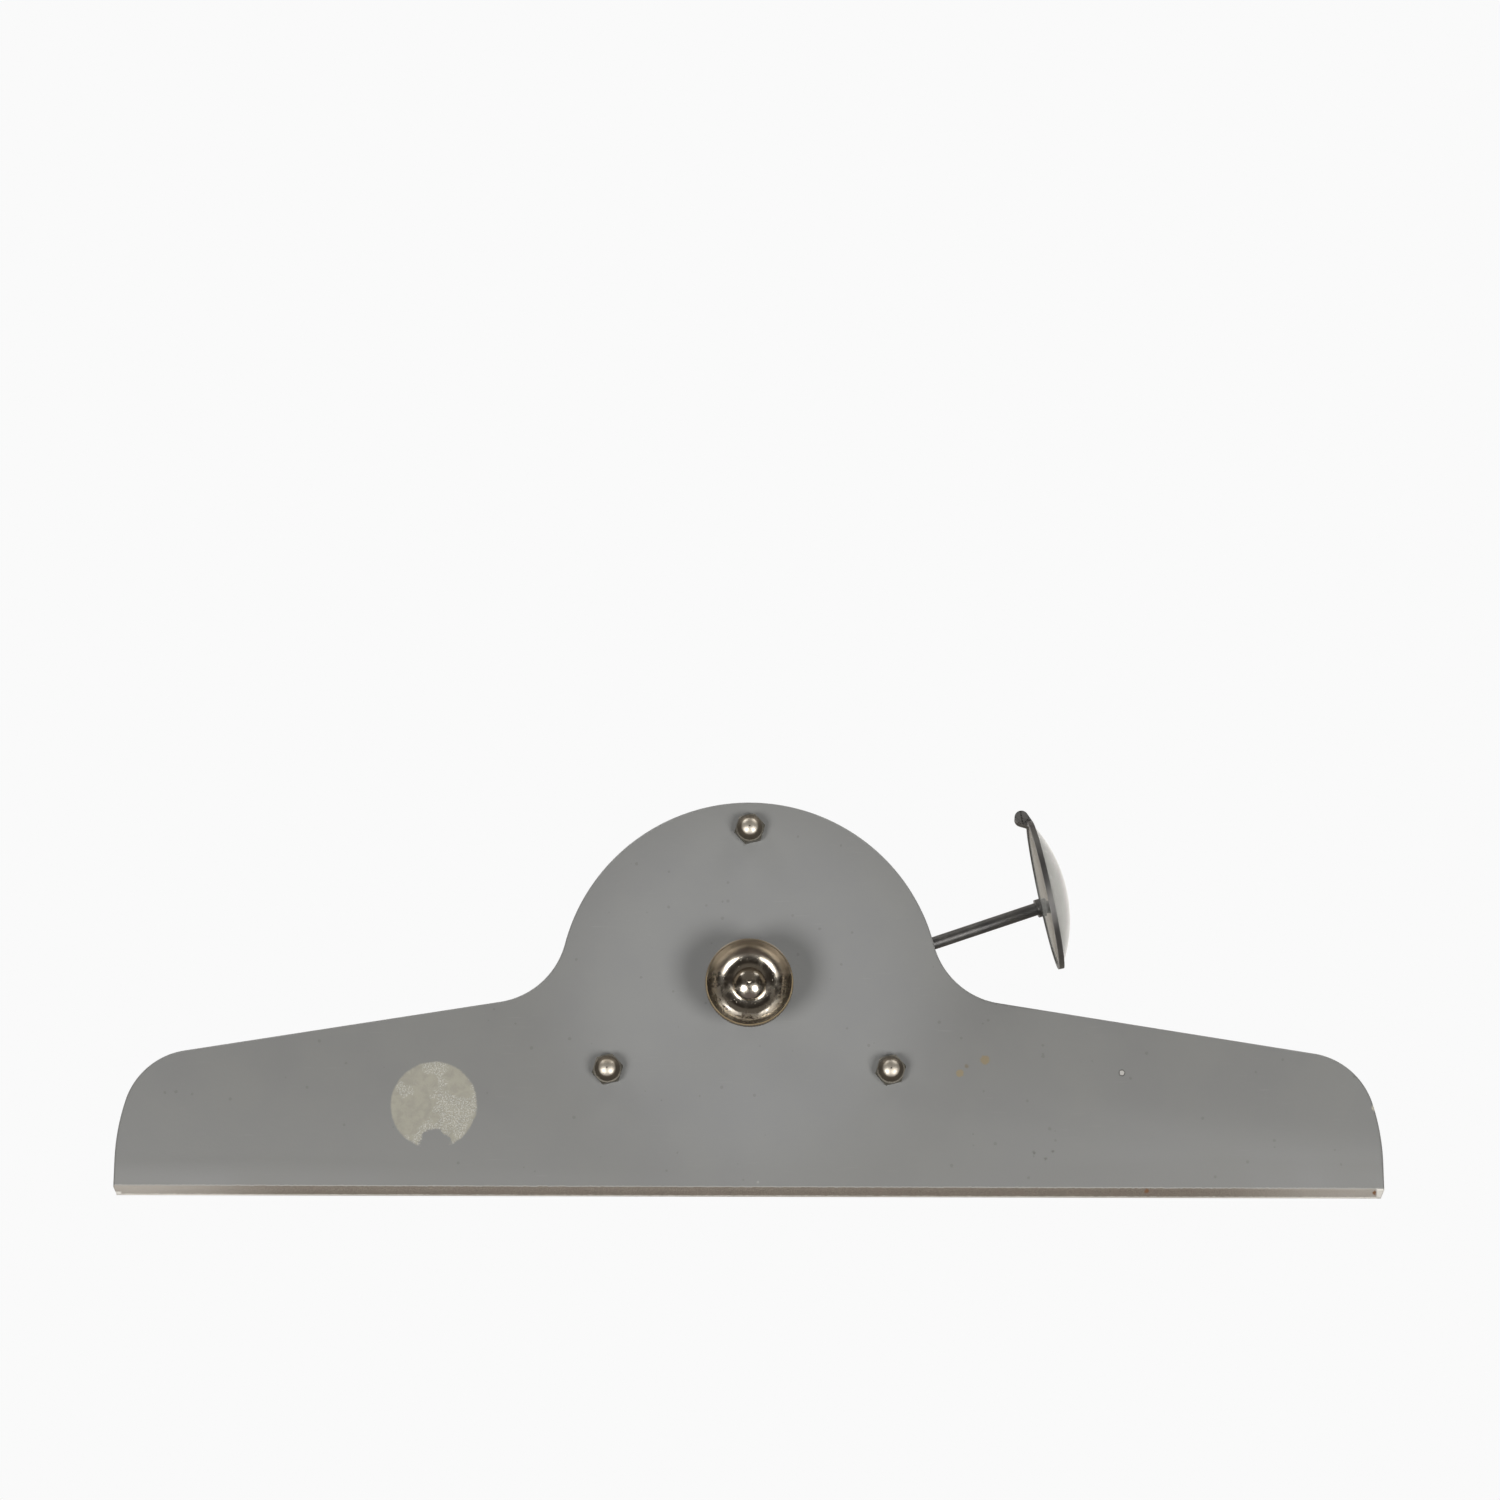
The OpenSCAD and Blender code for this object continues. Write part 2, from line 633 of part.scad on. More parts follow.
// Half section of the nut's dome: a steep shoulder, and a flatter crown with a centre mark
module nut_dome() {
    shoulder_r = (nut_dome_r - nut_crown_r * sin(nut_slopes[0])) / (sin(nut_slopes[1]) - sin(nut_slopes[0]));
    neck_h = nut_dome_h - shoulder_r * (cos(nut_slopes[0]) - cos(nut_slopes[1]))
        - nut_crown_r * (1 - cos(nut_slopes[0]));
    mark = asin(dimple_r / 2 / nut_crown_r);
    start = [nut_dome_r, nut_hex_h + neck_h];
    polygon(concat([[0, nut_hex_h - 0.5], [nut_dome_r, nut_hex_h - 0.5], start],
        follow(start, [[-shoulder_r, -nut_slopes[1], -nut_slopes[0]], [-nut_crown_r, -nut_slopes[0], -mark]]),
        [[0, nut_hex_h + nut_dome_h - 0.2]]));
}

// The hexagon's corners are turned off, and the dome rises from it
module dome_nuts() {
    corner = nut_af / 2 / cos(30);
    color([0.68, 0.64, 0.58]) at_studs(0) mirror([0, 0, 1]) rotate([0, 0, nut_turn]) difference() {
        union() {
            intersection() {
                cylinder(r = corner, h = nut_hex_h, $fn = 6);
                cylinder(r1 = corner + 1.6, r2 = corner - 0.45, h = nut_hex_h);
            }
            rotate_extrude() nut_dome();
        }
        translate([0, 0, -cut]) cylinder(r = stud_r + fix_fit, h = nut_hex_h + 1.2 + cut);
    }
}

module window_ring() {
    color([0.85, 0.88, 0.85, 0.4]) ring(window_d, window_end_d, window_r, window_r_in);
}

module front_gasket() {
    color([0.15, 0.13, 0.12]) ring(groove_floor_d, window_d, window_r, window_r_in);
}

module rear_gasket() {
    color([0.15, 0.13, 0.12]) ring(window_end_d, cover_floor_d, window_r, window_r_in);
}

module rear_cover() {
    lap_d = window_end_d - cover_lap;
    color([0.55, 0.55, 0.54]) difference() {
        union() {
            ring(cover_d, cover_back_d, cover_r - edge_bevel);
            ring(lap_d, cover_back_d - edge_bevel, cover_r, cover_inner_r);
            on_axis(cover_back_d - edge_bevel)
                cylinder(r1 = cover_r, r2 = cover_r - edge_bevel, h = edge_bevel);
        }
        ring(lap_d - cut, cover_floor_d, window_r + groove_play, window_r_in - groove_play);
        on_axis(lap_d - cut) cylinder(r = cover_inner_r, h = cover_d - lap_d + cut);
        on_axis(cover_d - cut) cylinder(r = rear_spigot_r + fix_fit, h = cover_t + 2 * cut);
    }
}

// A cup that presses its lining on the web; the cross pin keys it to the spindle's slots
module brake_disc() {
    cup_d = web_back_d + brake_touch + lining_t;
    color([0.78, 0.65, 0.38]) difference() {
        union() {
            ring(cup_d, brake_d + brake_disc_t, lining_r + lining_w, lining_r);
            ring(brake_d, brake_d + brake_disc_t, lining_r + 0.5);
            ring(brake_d, brake_end_d, brake_hub_r);
        }
        on_axis(brake_d - cut) cylinder(r = guide_r + run_fit, h = brake_hub_len + 2 * cut);
        on_axis(cross_pin_d) rotate([90, 0, 0])
            cylinder(r = cross_pin_r + fix_fit, h = 2 * (brake_hub_r + cut), center = true);
    }
}

module brake_lining() {
    lining_d = web_back_d + brake_touch;
    color([0.45, 0.3, 0.18]) ring(lining_d, lining_d + lining_t, lining_r + lining_w - 0.1, lining_r + 0.1);
}

module brake_cross_pin() {
    color([0.7, 0.7, 0.7]) on_axis(cross_pin_d) rotate([90, 0, 0])
        cylinder(r = cross_pin_r, h = 2 * brake_hub_r - 0.6, center = true);
}

module push_rod() {
    color([0.7, 0.7, 0.7]) ring(screw_tip_d, push_rod_end_d, push_rod_r);
}

// Rings of the spring's wire: eight a turn, six-sided, with a straight stretch at each end
spring_len = cover_d - brake_d - brake_disc_t;
spring_rings = 8 * spring_turns;
spring_rise = (spring_len - 2 * spring_wire_r) / spring_turns;
function spring_point(turn) = let (
        t = max(0, min(spring_turns, turn)),
        over = (turn - t) * 2 * PI * spring_r,
        at = [cos(360 * t), sin(360 * t)]
    ) [spring_r * at[0] - over * at[1], spring_r * at[1] + over * at[0], spring_wire_r + t * spring_rise];
spring_end = 2 * spring_wire_r / (2 * PI * spring_r);
spring_path = [for (i = [-1 : spring_rings + 1])
    spring_point(i < 0 ? -spring_end : i > spring_rings ? spring_turns + spring_end : i / 8)];
spring_gap = min([for (i = [1 : spring_rings - 7], k = [6 : 9]) if (i + k <= spring_rings + 1)
    norm(spring_path[i + k] - spring_path[i])]) - 2 * spring_wire_r;
echo(least_gap_between_spring_turns = spring_gap);

module brake_spring() {
    n = len(spring_path);
    out = function (p) let (l = norm([p[0], p[1]])) [p[0] / l, p[1] / l, 0];
    points = [for (p = spring_path, a = [0 : 60 : 300])
        p + spring_wire_r * (cos(a) * out(p) + sin(a) * [0, 0, 1])];
    sides = [for (i = [0 : n - 2], j = [0 : 5]) let (k = (j + 1) % 6)
        each [[6 * i + j, 6 * i + k, 6 * i + 6 + k], [6 * i + j, 6 * i + 6 + k, 6 * i + 6 + j]]];
    first = [for (j = [1 : 4]) [0, j + 1, j]];
    last = [for (j = [1 : 4]) (n - 1) * 6 * [1, 1, 1] + [0, j, j + 1]];
    color([0.7, 0.7, 0.7]) on_axis(brake_d + brake_disc_t) polyhedron(points, concat(sides, first, last));
}

// Half section of the thumbscrew's head and collar, a little proud of the teeth cut from it
module knob_profile() {
    rim_h = knob_h - knob_rim_t;
    rim_r = knob_r + 0.1;
    lip_r = knob_r - rim_bevel - lip_w;
    cone_h = knob_hollow - knob_wall_r * (cos(floor_slope) - cos(wall_slope))
        - knob_floor_r * (1 - cos(floor_slope));
    wall = [lip_r - cone_h / tan(wall_slope), knob_h - cone_h];
    level_r = wall[0] - knob_wall_r * (sin(wall_slope) - sin(floor_slope)) - knob_floor_r * sin(floor_slope);
    foot_r = (level_r - knob_dome_r) / sin(foot_slope);
    flank_top = crown[0] * sin(crown[1]) + flank[0] * (sin(flank[1]) - sin(crown[1]));
    shoulder_r = (knob_dome_r - flank_top) / (sin(wall_slope) - sin(flank[1]));
    mark = asin(dimple_r / crown[0]);
    inwards = follow(wall, [
        [knob_wall_r, wall_slope, floor_slope], [knob_floor_r, floor_slope, 0], [foot_r, 0, -foot_slope],
        [-shoulder_r, -wall_slope, -flank[1]], [-flank[0], -flank[1], -crown[1]], [-crown[0], -crown[1], -mark]
    ]);
    polygon(concat(
        [[0, collar_h - 0.5], [screw_r, collar_h - 0.5], [screw_r, collar_h], [collar_r, collar_h]],
        [[collar_r, rim_h - rim_cone], [knob_r - rim_bevel, rim_h]],
        [[rim_r, rim_h + rim_r - knob_r + rim_bevel], [rim_r, knob_h - rim_r + knob_r - rim_bevel]],
        [[knob_r - rim_bevel, knob_h], [lip_r, knob_h], wall],
        inwards,
        [[0, inwards[len(inwards) - 1][1] - dimple_r / 2]]
    ));
}

// Outline of the milled edge
module knob_teeth_outline() {
    polygon([for (i = [0 : 2 * knob_teeth - 1])
        let (a = 180 * i / knob_teeth, r = knob_r - (i % 2) * tooth_d) r * [cos(a), sin(a)]]);
}

module thumbscrew() {
    color([0.68, 0.64, 0.58]) {
        on_face() intersection() {
            rotate_extrude() knob_profile();
            linear_extrude(knob_h + cut) knob_teeth_outline();
        }
        on_face(collar_h) mirror([0, 0, 1]) cylinder(r = screw_r, h = collar_h + screw_tip_d);
    }
}

// The nut that clamps the cover to the spindle and carries the arm
module arm_journal() {
    color([0.62, 0.6, 0.56]) difference() {
        ring(cover_back_d, arm_d + arm_hub_t / 2 + run_fit, journal_r);
        on_axis(cover_back_d - cut)
            cylinder(r = rear_spigot_r + fix_fit, h = arm_d - cover_back_d + 0.4 + cut);
        on_axis(arm_d) cylinder(r = keeper_screw_r + fix_fit, h = arm_hub_t);
        on_axis(arm_d + arm_hub_t / 2 - 2) for (s = [-1, 1])
            translate([s * spanner_hole_at, 0, 0]) cylinder(r = spanner_hole_r, h = 4);
    }
}

module arm_washer() {
    color([0.45, 0.2, 0.12])
        ring(cover_back_d, cover_back_d + arm_washer_t, arm_hub_r - 0.5, journal_r + run_fit);
}

module arm_keeper() {
    color([0.62, 0.6, 0.56]) ring(keeper_d, keeper_d + keeper_t, journal_r + 3, keeper_screw_r + fix_fit);
}

module arm_keeper_screw() {
    color([0.68, 0.64, 0.58]) on_axis(keeper_d + keeper_t) difference() {
        union() {
            translate([0, 0, -keeper_t - 2.2]) cylinder(r = keeper_screw_r, h = keeper_t + 2.3);
            cylinder(r = 2 * keeper_screw_r, h = 1);
            translate([0, 0, 1]) cylinder(r1 = 2 * keeper_screw_r, r2 = 1.6 * keeper_screw_r, h = 0.6);
        }
        translate([-4, -0.35, 0.8]) cube([8, 0.7, 2]);
    }
}

module arm_hub() {
    color([0.2, 0.2, 0.21]) on_arm() difference() {
        union() {
            translate([0, 0, -arm_hub_t / 2]) cylinder(r = arm_hub_r, h = arm_hub_t);
            translate([journal_r + 2, 0, 0]) rotate([0, 90, 0])
                cylinder(r = arm_socket_r - 0.1, h = arm_hub_wall - 2 + arm_socket_len);
        }
        translate([0, 0, -arm_hub_t]) cylinder(r = journal_r + run_fit, h = 2 * arm_hub_t);
        translate([rod_start - fix_fit, 0, 0]) rotate([0, 90, 0])
            cylinder(r = rod_r + fix_fit, h = arm_hub_wall + arm_socket_len + cut);
        translate([arm_hub_r + arm_socket_len / 2, 0, 0]) cylinder(r = set_screw_r + fix_fit, h = arm_hub_t);
    }
}

module arm_rod() {
    color([0.24, 0.23, 0.22]) on_arm() translate([rod_start, 0, 0]) rotate([0, 90, 0])
        cylinder(r = rod_r, h = lens_dist + 2.4 - rod_start);
}

module arm_set_screw() {
    at = [arm_hub_r + arm_socket_len / 2, 0, rod_r + fix_fit];
    color([0.3, 0.3, 0.3]) on_arm() translate(at) difference() {
        cylinder(r = set_screw_r, h = arm_socket_r - 0.2 - rod_r);
        translate([-2, -0.2, arm_socket_r - 0.7 - rod_r]) cube([4, 0.4, 2]);
    }
}

// The lens, flat towards the drum, with play all round to cut the ring's groove
module lens_solid(play = 0) {
    r = lens_r + play;
    t = lens_edge_t / 2 + play;
    outer = cap_r(r, lens_bulge);
    intersection() {
        translate([0, 0, t + lens_bulge - outer]) sphere(r = outer, $fn = 240);
        translate([0, 0, -t]) cylinder(r = r, h = 2 * t + lens_bulge + cut, $fn = 240);
    }
}

// Outline of the eyes, drawn out to the ring by two straight sides
module eye_outline() {
    eye = [-eye_at[1], -eye_at[0]];
    root = [0, -lens_r - 0.1];
    line = root - eye;
    along = atan2(line[1], line[0]);
    open = acos((eye_r - eye_root_r) / norm(line));
    out = function (a) [cos(along + a), sin(along + a)];
    translate(eye) circle(r = eye_r);
    translate(root) circle(r = eye_root_r);
    polygon([eye + eye_r * out(open), root + eye_root_r * out(open),
        root + eye_root_r * out(-open), eye + eye_r * out(-open)]);
}

// The ring is split at its upper end, where two eyes and a screw close it
module lens_ring() {
    color([0.3, 0.29, 0.27]) difference() {
        union() {
            on_lens() rotate_extrude() translate([lens_r - 0.5, -ring_w / 2]) square([ring_t + 0.5, ring_w]);
            on_lens() rotate([0, 90, 0]) linear_extrude(eye_len, center = true) eye_outline();
            on_arm() translate([lens_dist - 0.5, 0, 0]) rotate([0, 90, 0])
                cylinder(r = rod_r + socket_wall, h = 4);
        }
        on_lens() lens_solid(fix_fit);
        on_lens() cylinder(r = lens_r - 0.6, h = 10, center = true);
        on_lens() translate([-split / 2, -ring_r - 6, -5]) cube([split, 7.5, 10]);
        on_lens() translate([0, -eye_at[0], eye_at[1]]) rotate([0, 90, 0])
            cylinder(r = clamp_screw_r + fix_fit, h = eye_len + 2 * cut, center = true);
        on_arm() translate([lens_dist - 2, 0, 0]) rotate([0, 90, 0]) cylinder(r = rod_r + fix_fit, h = 4.42);
    }
}

module ring_clamp_screw() {
    at = [0, -eye_at[0], eye_at[1]];
    color([0.36, 0.35, 0.33]) on_lens() translate(at) rotate([0, 90, 0]) difference() {
        union() {
            translate([0, 0, -eye_len / 2]) cylinder(r = clamp_screw_r, h = eye_len + 0.1);
            translate([0, 0, eye_len / 2]) cylinder(r = eye_r - 0.15, h = 0.8);
        }
        translate([-0.2, -eye_r, eye_len / 2 + 0.4]) cube([0.4, 2 * eye_r, 1]);
    }
}

module lens() {
    color([0.85, 0.88, 0.86, 0.4]) on_lens() lens_solid();
}

body_casting();
spindle();
spindle_nut();
race_inner(front_race_d);  // front_race_inner
race_spacer();
race_inner(rear_race_d);  // rear_race_inner
race_nut();
race_balls(front_race_d);  // front_race_balls
race_balls(rear_race_d);  // rear_race_balls
race_outer(front_race_d);  // front_race_outer
race_outer(rear_race_d);  // rear_race_outer
drum();
main_dial();
pendulum_weight();
weight_screws();
vernier_ring();
index_pointer();
vernier_studs();
dome_nuts();
window_ring();
front_gasket();
rear_gasket();
rear_cover();
brake_disc();
brake_lining();
brake_cross_pin();
push_rod();
brake_spring();
thumbscrew();
arm_journal();
arm_washer();
arm_keeper();
arm_keeper_screw();
arm_hub();
arm_rod();
arm_set_screw();
lens_ring();
ring_clamp_screw();
lens();
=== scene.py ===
"""Looks for the clinometer, built round its CAD frame. Metres, +Z up, front towards -Y."""
import math

import bmesh
import bpy
from mathutils import Matrix, Vector


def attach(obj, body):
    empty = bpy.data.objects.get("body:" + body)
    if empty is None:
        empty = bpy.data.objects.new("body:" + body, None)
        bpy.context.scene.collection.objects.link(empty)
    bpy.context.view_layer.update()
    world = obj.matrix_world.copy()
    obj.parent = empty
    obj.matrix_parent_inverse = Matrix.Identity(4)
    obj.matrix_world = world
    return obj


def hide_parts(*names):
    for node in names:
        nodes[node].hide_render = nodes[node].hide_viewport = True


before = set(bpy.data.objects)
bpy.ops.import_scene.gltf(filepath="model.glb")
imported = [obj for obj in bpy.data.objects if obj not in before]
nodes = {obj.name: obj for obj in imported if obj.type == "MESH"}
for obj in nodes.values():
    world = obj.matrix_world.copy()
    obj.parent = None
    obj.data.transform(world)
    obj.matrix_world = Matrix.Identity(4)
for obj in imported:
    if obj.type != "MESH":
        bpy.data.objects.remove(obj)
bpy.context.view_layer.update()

MM = 0.001
FRONT_Y = -14.0
AXIS_Z = 50.0
BASE_HALF = 152.4
PLATE_T = 4.5
BASE_T = 5.0
DIAL_R = 36.0
STUD_CIRCLE_R = 39.4


# Small helpers for meshes

def new_piece(name, mesh, body):
    """A piece in the scene that rides on a body."""
    piece = bpy.data.objects.new(name, mesh)
    bpy.context.scene.collection.objects.link(piece)
    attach(piece, body)
    return piece


def mesh_from(name, build):
    """A mesh in metres from a function that fills a bmesh in millimetres."""
    bm = bmesh.new()
    build(bm)
    bmesh.ops.scale(bm, vec=(MM, MM, MM), verts=bm.verts)
    mesh = bpy.data.meshes.new(name)
    bm.to_mesh(mesh)
    bm.free()
    return mesh


def loft(bm, loops, closed=True):
    """Skins loops of points that have the same count, and caps both ends."""
    rings = [[bm.verts.new(p) for p in loop] for loop in loops]
    n = len(rings[0])
    for a, b in zip(rings, rings[1:]):
        for i in range(n):
            bm.faces.new((a[i], a[(i + 1) % n], b[(i + 1) % n], b[i]))
    if closed:
        bm.faces.new(rings[0][::-1])
        bm.faces.new(rings[-1])
    bmesh.ops.recalc_face_normals(bm, faces=bm.faces)


def prism(bm, outline, x0, x1):
    """An outline of (y, z) points carried from x0 to x1."""
    loft(bm, [[(x, y, z) for y, z in outline] for x in (x0, x1)])


def block(bm, size, centre):
    """A plain block."""
    bmesh.ops.create_cube(bm, size=1.0)
    bmesh.ops.scale(bm, vec=size, verts=bm.verts)
    bmesh.ops.translate(bm, vec=centre, verts=bm.verts)


def tube(bm, y0, y1, r, hole=0.0, count=180):
    """A cylinder or ring about the drum's axis."""
    turn = [2 * math.pi * i / count for i in range(count)]

    def ring(y, radius):
        return [(radius * math.cos(t), y, AXIS_Z + radius * math.sin(t)) for t in turn]

    if not hole:
        loft(bm, [ring(y0, r), ring(y1, r)])
        return
    loops = [ring(y0, r), ring(y1, r), ring(y1, hole), ring(y0, hole), ring(y0, r)]
    loft(bm, loops, closed=False)
    bmesh.ops.remove_doubles(bm, verts=bm.verts, dist=1e-5)
    bmesh.ops.recalc_face_normals(bm, faces=bm.faces)


def combine(base, tool, operation):
    """Joins or cuts one mesh with another and returns the result."""
    body = bpy.data.objects.new("body_blank", base)
    other = bpy.data.objects.new("tool_blank", tool)
    for o in (body, other):
        bpy.context.scene.collection.objects.link(o)
    step = body.modifiers.new("step", "BOOLEAN")
    step.operation, step.object, step.solver = operation, other, "EXACT"
    graph = bpy.context.evaluated_depsgraph_get()
    result = bpy.data.meshes.new_from_object(body.evaluated_get(graph))
    for o in (body, other):
        bpy.data.objects.remove(o)
    return result


# The casting: plate, base, ribs and fillets

# The plate's outline: its wings' upper line, and its corners, sides, hollows and round top
WING_H, WING_ANGLE = 56.4, 9.0
CORNER_R, SIDE_R, SIDE_Z, HOLLOW_R, LOBE_R = 17.0, 51.5, 8.3, 19.0, 46.3
ARC_STEP = 1.25
# Roundings that casting leaves: at the plate's front and back, and on the foot and the ribs
PLATE_FRONT_R, PLATE_BACK_R, SOFT_EDGE, SOFT_STEPS = 0.55, 0.4, 0.8, 4
PLATE_BACK_Y = FRONT_Y + PLATE_T
# The foot goes a little below the ground face, and is cut level there
FOOT_DEPTH, FOOT_MID_Y, FOOT_SPARE = 27.0, 0.5, 1.0
COVER_R = 44.65
# A rib's corners (y, z): two of its sides are sunk in the plate and the foot
RIB_X, RIB_T = (72.0, 118.0), 4.0
RIB_PROFILE = [(-12, 3.2), (13.2, 3.2), (-12, 22.4)]
CAST_R = 4.0
BEVEL_H, BEVEL_D, EDGE_BEVEL = 2.2, 1.2, 0.8
GROOVE_R = (43.75, 42.15)
BORE_R = 5.02
STUD_SLOT_R, STUD_TRAVEL = 1.9, 1.5


def arc(centre, r, a0, a1, skip=0):
    """Points on an arc, from one angle to another in degrees."""
    count = math.ceil(abs(a1 - a0) / ARC_STEP)
    turn = [math.radians(a0 + (a1 - a0) * i / count) for i in range(skip, count + 1)]
    return [(centre[0] + r * math.cos(t), centre[1] + r * math.sin(t)) for t in turn]


def wing_circle(c, s, dist):
    """Centre of a circle that touches the wing's line on side s, dist from the point c."""
    a = math.radians(WING_ANGLE)
    along, across = Vector((math.cos(a), -math.sin(a))), Vector((math.sin(a), math.cos(a)))
    height = WING_H * math.cos(a) + s
    c = Vector(c)
    t = c.dot(along) + math.sqrt(dist ** 2 - (height - c.dot(across)) ** 2)
    return tuple(t * along + height * across)


LOBE_C = (0.0, AXIS_Z)
SIDE_C = (BASE_HALF - SIDE_R, SIDE_Z)
CORNER_C = wing_circle(SIDE_C, -CORNER_R, SIDE_R - CORNER_R)
HOLLOW_C = wing_circle(LOBE_C, HOLLOW_R, LOBE_R + HOLLOW_R)


def plate_outline(inset):
    """The plate's outline, moved in by inset."""
    side_turn = math.degrees(math.atan2(CORNER_C[1] - SIDE_C[1], CORNER_C[0] - SIDE_C[0]))
    lobe_turn = math.degrees(math.atan2(HOLLOW_C[1] - LOBE_C[1], HOLLOW_C[0] - LOBE_C[0]))
    right = [(BASE_HALF - inset, -1.0)]
    right += arc(SIDE_C, SIDE_R - inset, 0, side_turn)
    right += arc(CORNER_C, CORNER_R - inset, side_turn, 90 - WING_ANGLE, 1)
    right += arc(HOLLOW_C, HOLLOW_R + inset, 270 - WING_ANGLE, 180 + lobe_turn)
    right += arc(LOBE_C, LOBE_R - inset, lobe_turn, 90, 1)
    return right + [(-x, z) for x, z in right[-2::-1]]


def rounded(y0, y1, r0, r1):
    """Pairs of inset and depth for a wall whose two edges are rounded."""
    turn = [math.pi / 2 * i / SOFT_STEPS for i in range(SOFT_STEPS + 1)]
    front = [(r0 * (1 - math.sin(t)), y0 + r0 * (1 - math.cos(t))) for t in turn]
    back = [(r1 * (1 - math.cos(t)), y1 - r1 * (1 - math.sin(t))) for t in turn]
    return front + back


def soften(bm, edges):
    bmesh.ops.bevel(bm, geom=edges, offset=SOFT_EDGE, segments=SOFT_STEPS, profile=0.5, affect="EDGES")


def build_casting():
    def plate(bm):
        levels = rounded(FRONT_Y, PLATE_BACK_Y, PLATE_FRONT_R, PLATE_BACK_R)
        loft(bm, [[(x, y, z) for x, z in plate_outline(inset)] for inset, y in levels])

    def foot(bm):
        block(bm, (2 * BASE_HALF, FOOT_DEPTH, BASE_T + FOOT_SPARE),
              (0, FOOT_MID_Y, (BASE_T - FOOT_SPARE) / 2))
        back_or_top = [e for e in bm.edges if all(v.co.z > 0 for v in e.verts)
                       or all(v.co.y > 0 for v in e.verts)]
        soften(bm, [e for e in back_or_top if not all(v.co.y < 0 for v in e.verts)
                    and not all(v.co.z < 0 for v in e.verts)])

    def rib(x):
        def build(bm):
            prism(bm, RIB_PROFILE, x - RIB_T / 2, x + RIB_T / 2)
            # All corners but the sunk inner one have y + z above 0
            soften(bm, [e for e in bm.edges if all(v.co.y + v.co.z > 0 for v in e.verts)])
        return build

    def fillet(side):
        """The hollow fillet between plate and foot, from beside the drum's cover to the end."""
        def build(bm):
            x0 = math.sqrt(COVER_R ** 2 - (AXIS_Z - BASE_T - CAST_R) ** 2) + 4
            x1 = BASE_HALF - EDGE_BEVEL
            y, z = PLATE_BACK_Y, BASE_T
            curve = [math.radians(5 * i) for i in range(19)]
            outline = [(y - 1, z - 1), (y + CAST_R, z - 1)]
            outline += [(y + CAST_R * (1 - math.sin(t)), z + CAST_R * (1 - math.cos(t))) for t in curve]
            outline += [(y - 1, z + CAST_R)]
            prism(bm, outline, side * x0, side * x1)
        return build

    def under(bm):
        block(bm, (400, 60, 4), (0, 0, -2))

    def front_bevel(bm):
        y = FRONT_Y
        prism(bm, [(y - 1, -1), (y + BEVEL_D, -1), (y + BEVEL_D, 0), (y, BEVEL_H), (y - 1, BEVEL_H)],
              -160, 160)

    def back_bevel(bm):
        y, e = -FRONT_Y, EDGE_BEVEL
        prism(bm, [(y + 1, -1), (y - e, -1), (y - e, 0), (y, e), (y + 1, e)], -160, 160)

    def end_bevel(side):
        def build(bm):
            x, e = side * BASE_HALF, side * EDGE_BEVEL
            loops = [[(x + side, y, -1), (x - e, y, -1), (x - e, y, 0), (x, y, BEVEL_H),
                      (x + side, y, BEVEL_H)] for y in (-20, 20)]
            loft(bm, loops)
        return build

    def groove(bm):
        """The seat of the clear window in the plate's back."""
        tube(bm, PLATE_BACK_Y - 1, PLATE_BACK_Y + 1, *GROOVE_R)

    def bore(bm):
        tube(bm, FRONT_Y - 1, PLATE_BACK_Y + 1, BORE_R, count=96)

    def slot(angle):
        """The short curved slot that a vernier stud moves in, drawn straight."""
        def build(bm):
            r, run = STUD_SLOT_R, STUD_CIRCLE_R * math.sin(math.radians(STUD_TRAVEL))
            a = math.radians(angle)
            out, along = Vector((math.sin(a), math.cos(a))), Vector((math.cos(a), -math.sin(a)))
            ends = [math.pi * i / 24 for i in range(25)]
            points = [(run + r * math.sin(t), r * math.cos(t)) for t in ends]
            points += [(-run - r * math.sin(t), -r * math.cos(t)) for t in ends]
            flat = [Vector(LOBE_C) + STUD_CIRCLE_R * out + u * along + v * out for u, v in points]
            loft(bm, [[(p.x, y, p.y) for p in flat] for y in (FRONT_Y - 1, PLATE_BACK_Y + 1)])
        return build

    mesh = mesh_from("casting", plate)
    for extra in [foot, fillet(-1), fillet(1)] + [rib(s * x) for s in (-1, 1) for x in RIB_X]:
        mesh = combine(mesh, mesh_from("extra", extra), "UNION")
    cuts = [front_bevel, back_bevel, end_bevel(-1), end_bevel(1), under, groove, bore]
    for cut in cuts + [slot(a) for a in (0, 120, 240)]:
        mesh = combine(mesh, mesh_from("cut", cut), "DIFFERENCE")
    mesh.name = "casting_skin"
    mesh.shade_smooth()
    mesh.set_sharp_from_angle(angle=math.radians(32))
    return mesh


casting = new_piece("casting_skin", build_casting(), "body")
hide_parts("body_casting")


# The divided lines and figures on the drum and on the vernier, printed a little proud

INK_HEIGHTS = (-0.02, 0.03)
LINE_W, TEN_LINE_W = 0.16, 0.2
DIAL_LINE_Y, DIAL_FIGURE_Y, DIAL_FIGURE_H = -3.62, 0.95, 1.9
VERNIER_LINE_Y, VERNIER_FIGURE_Y, VERNIER_FIGURE_H, VERNIER_FIGURE_SHIFT = -3.95, -6.65, 1.25, 1.35
FIGURE_SHAPES = {}


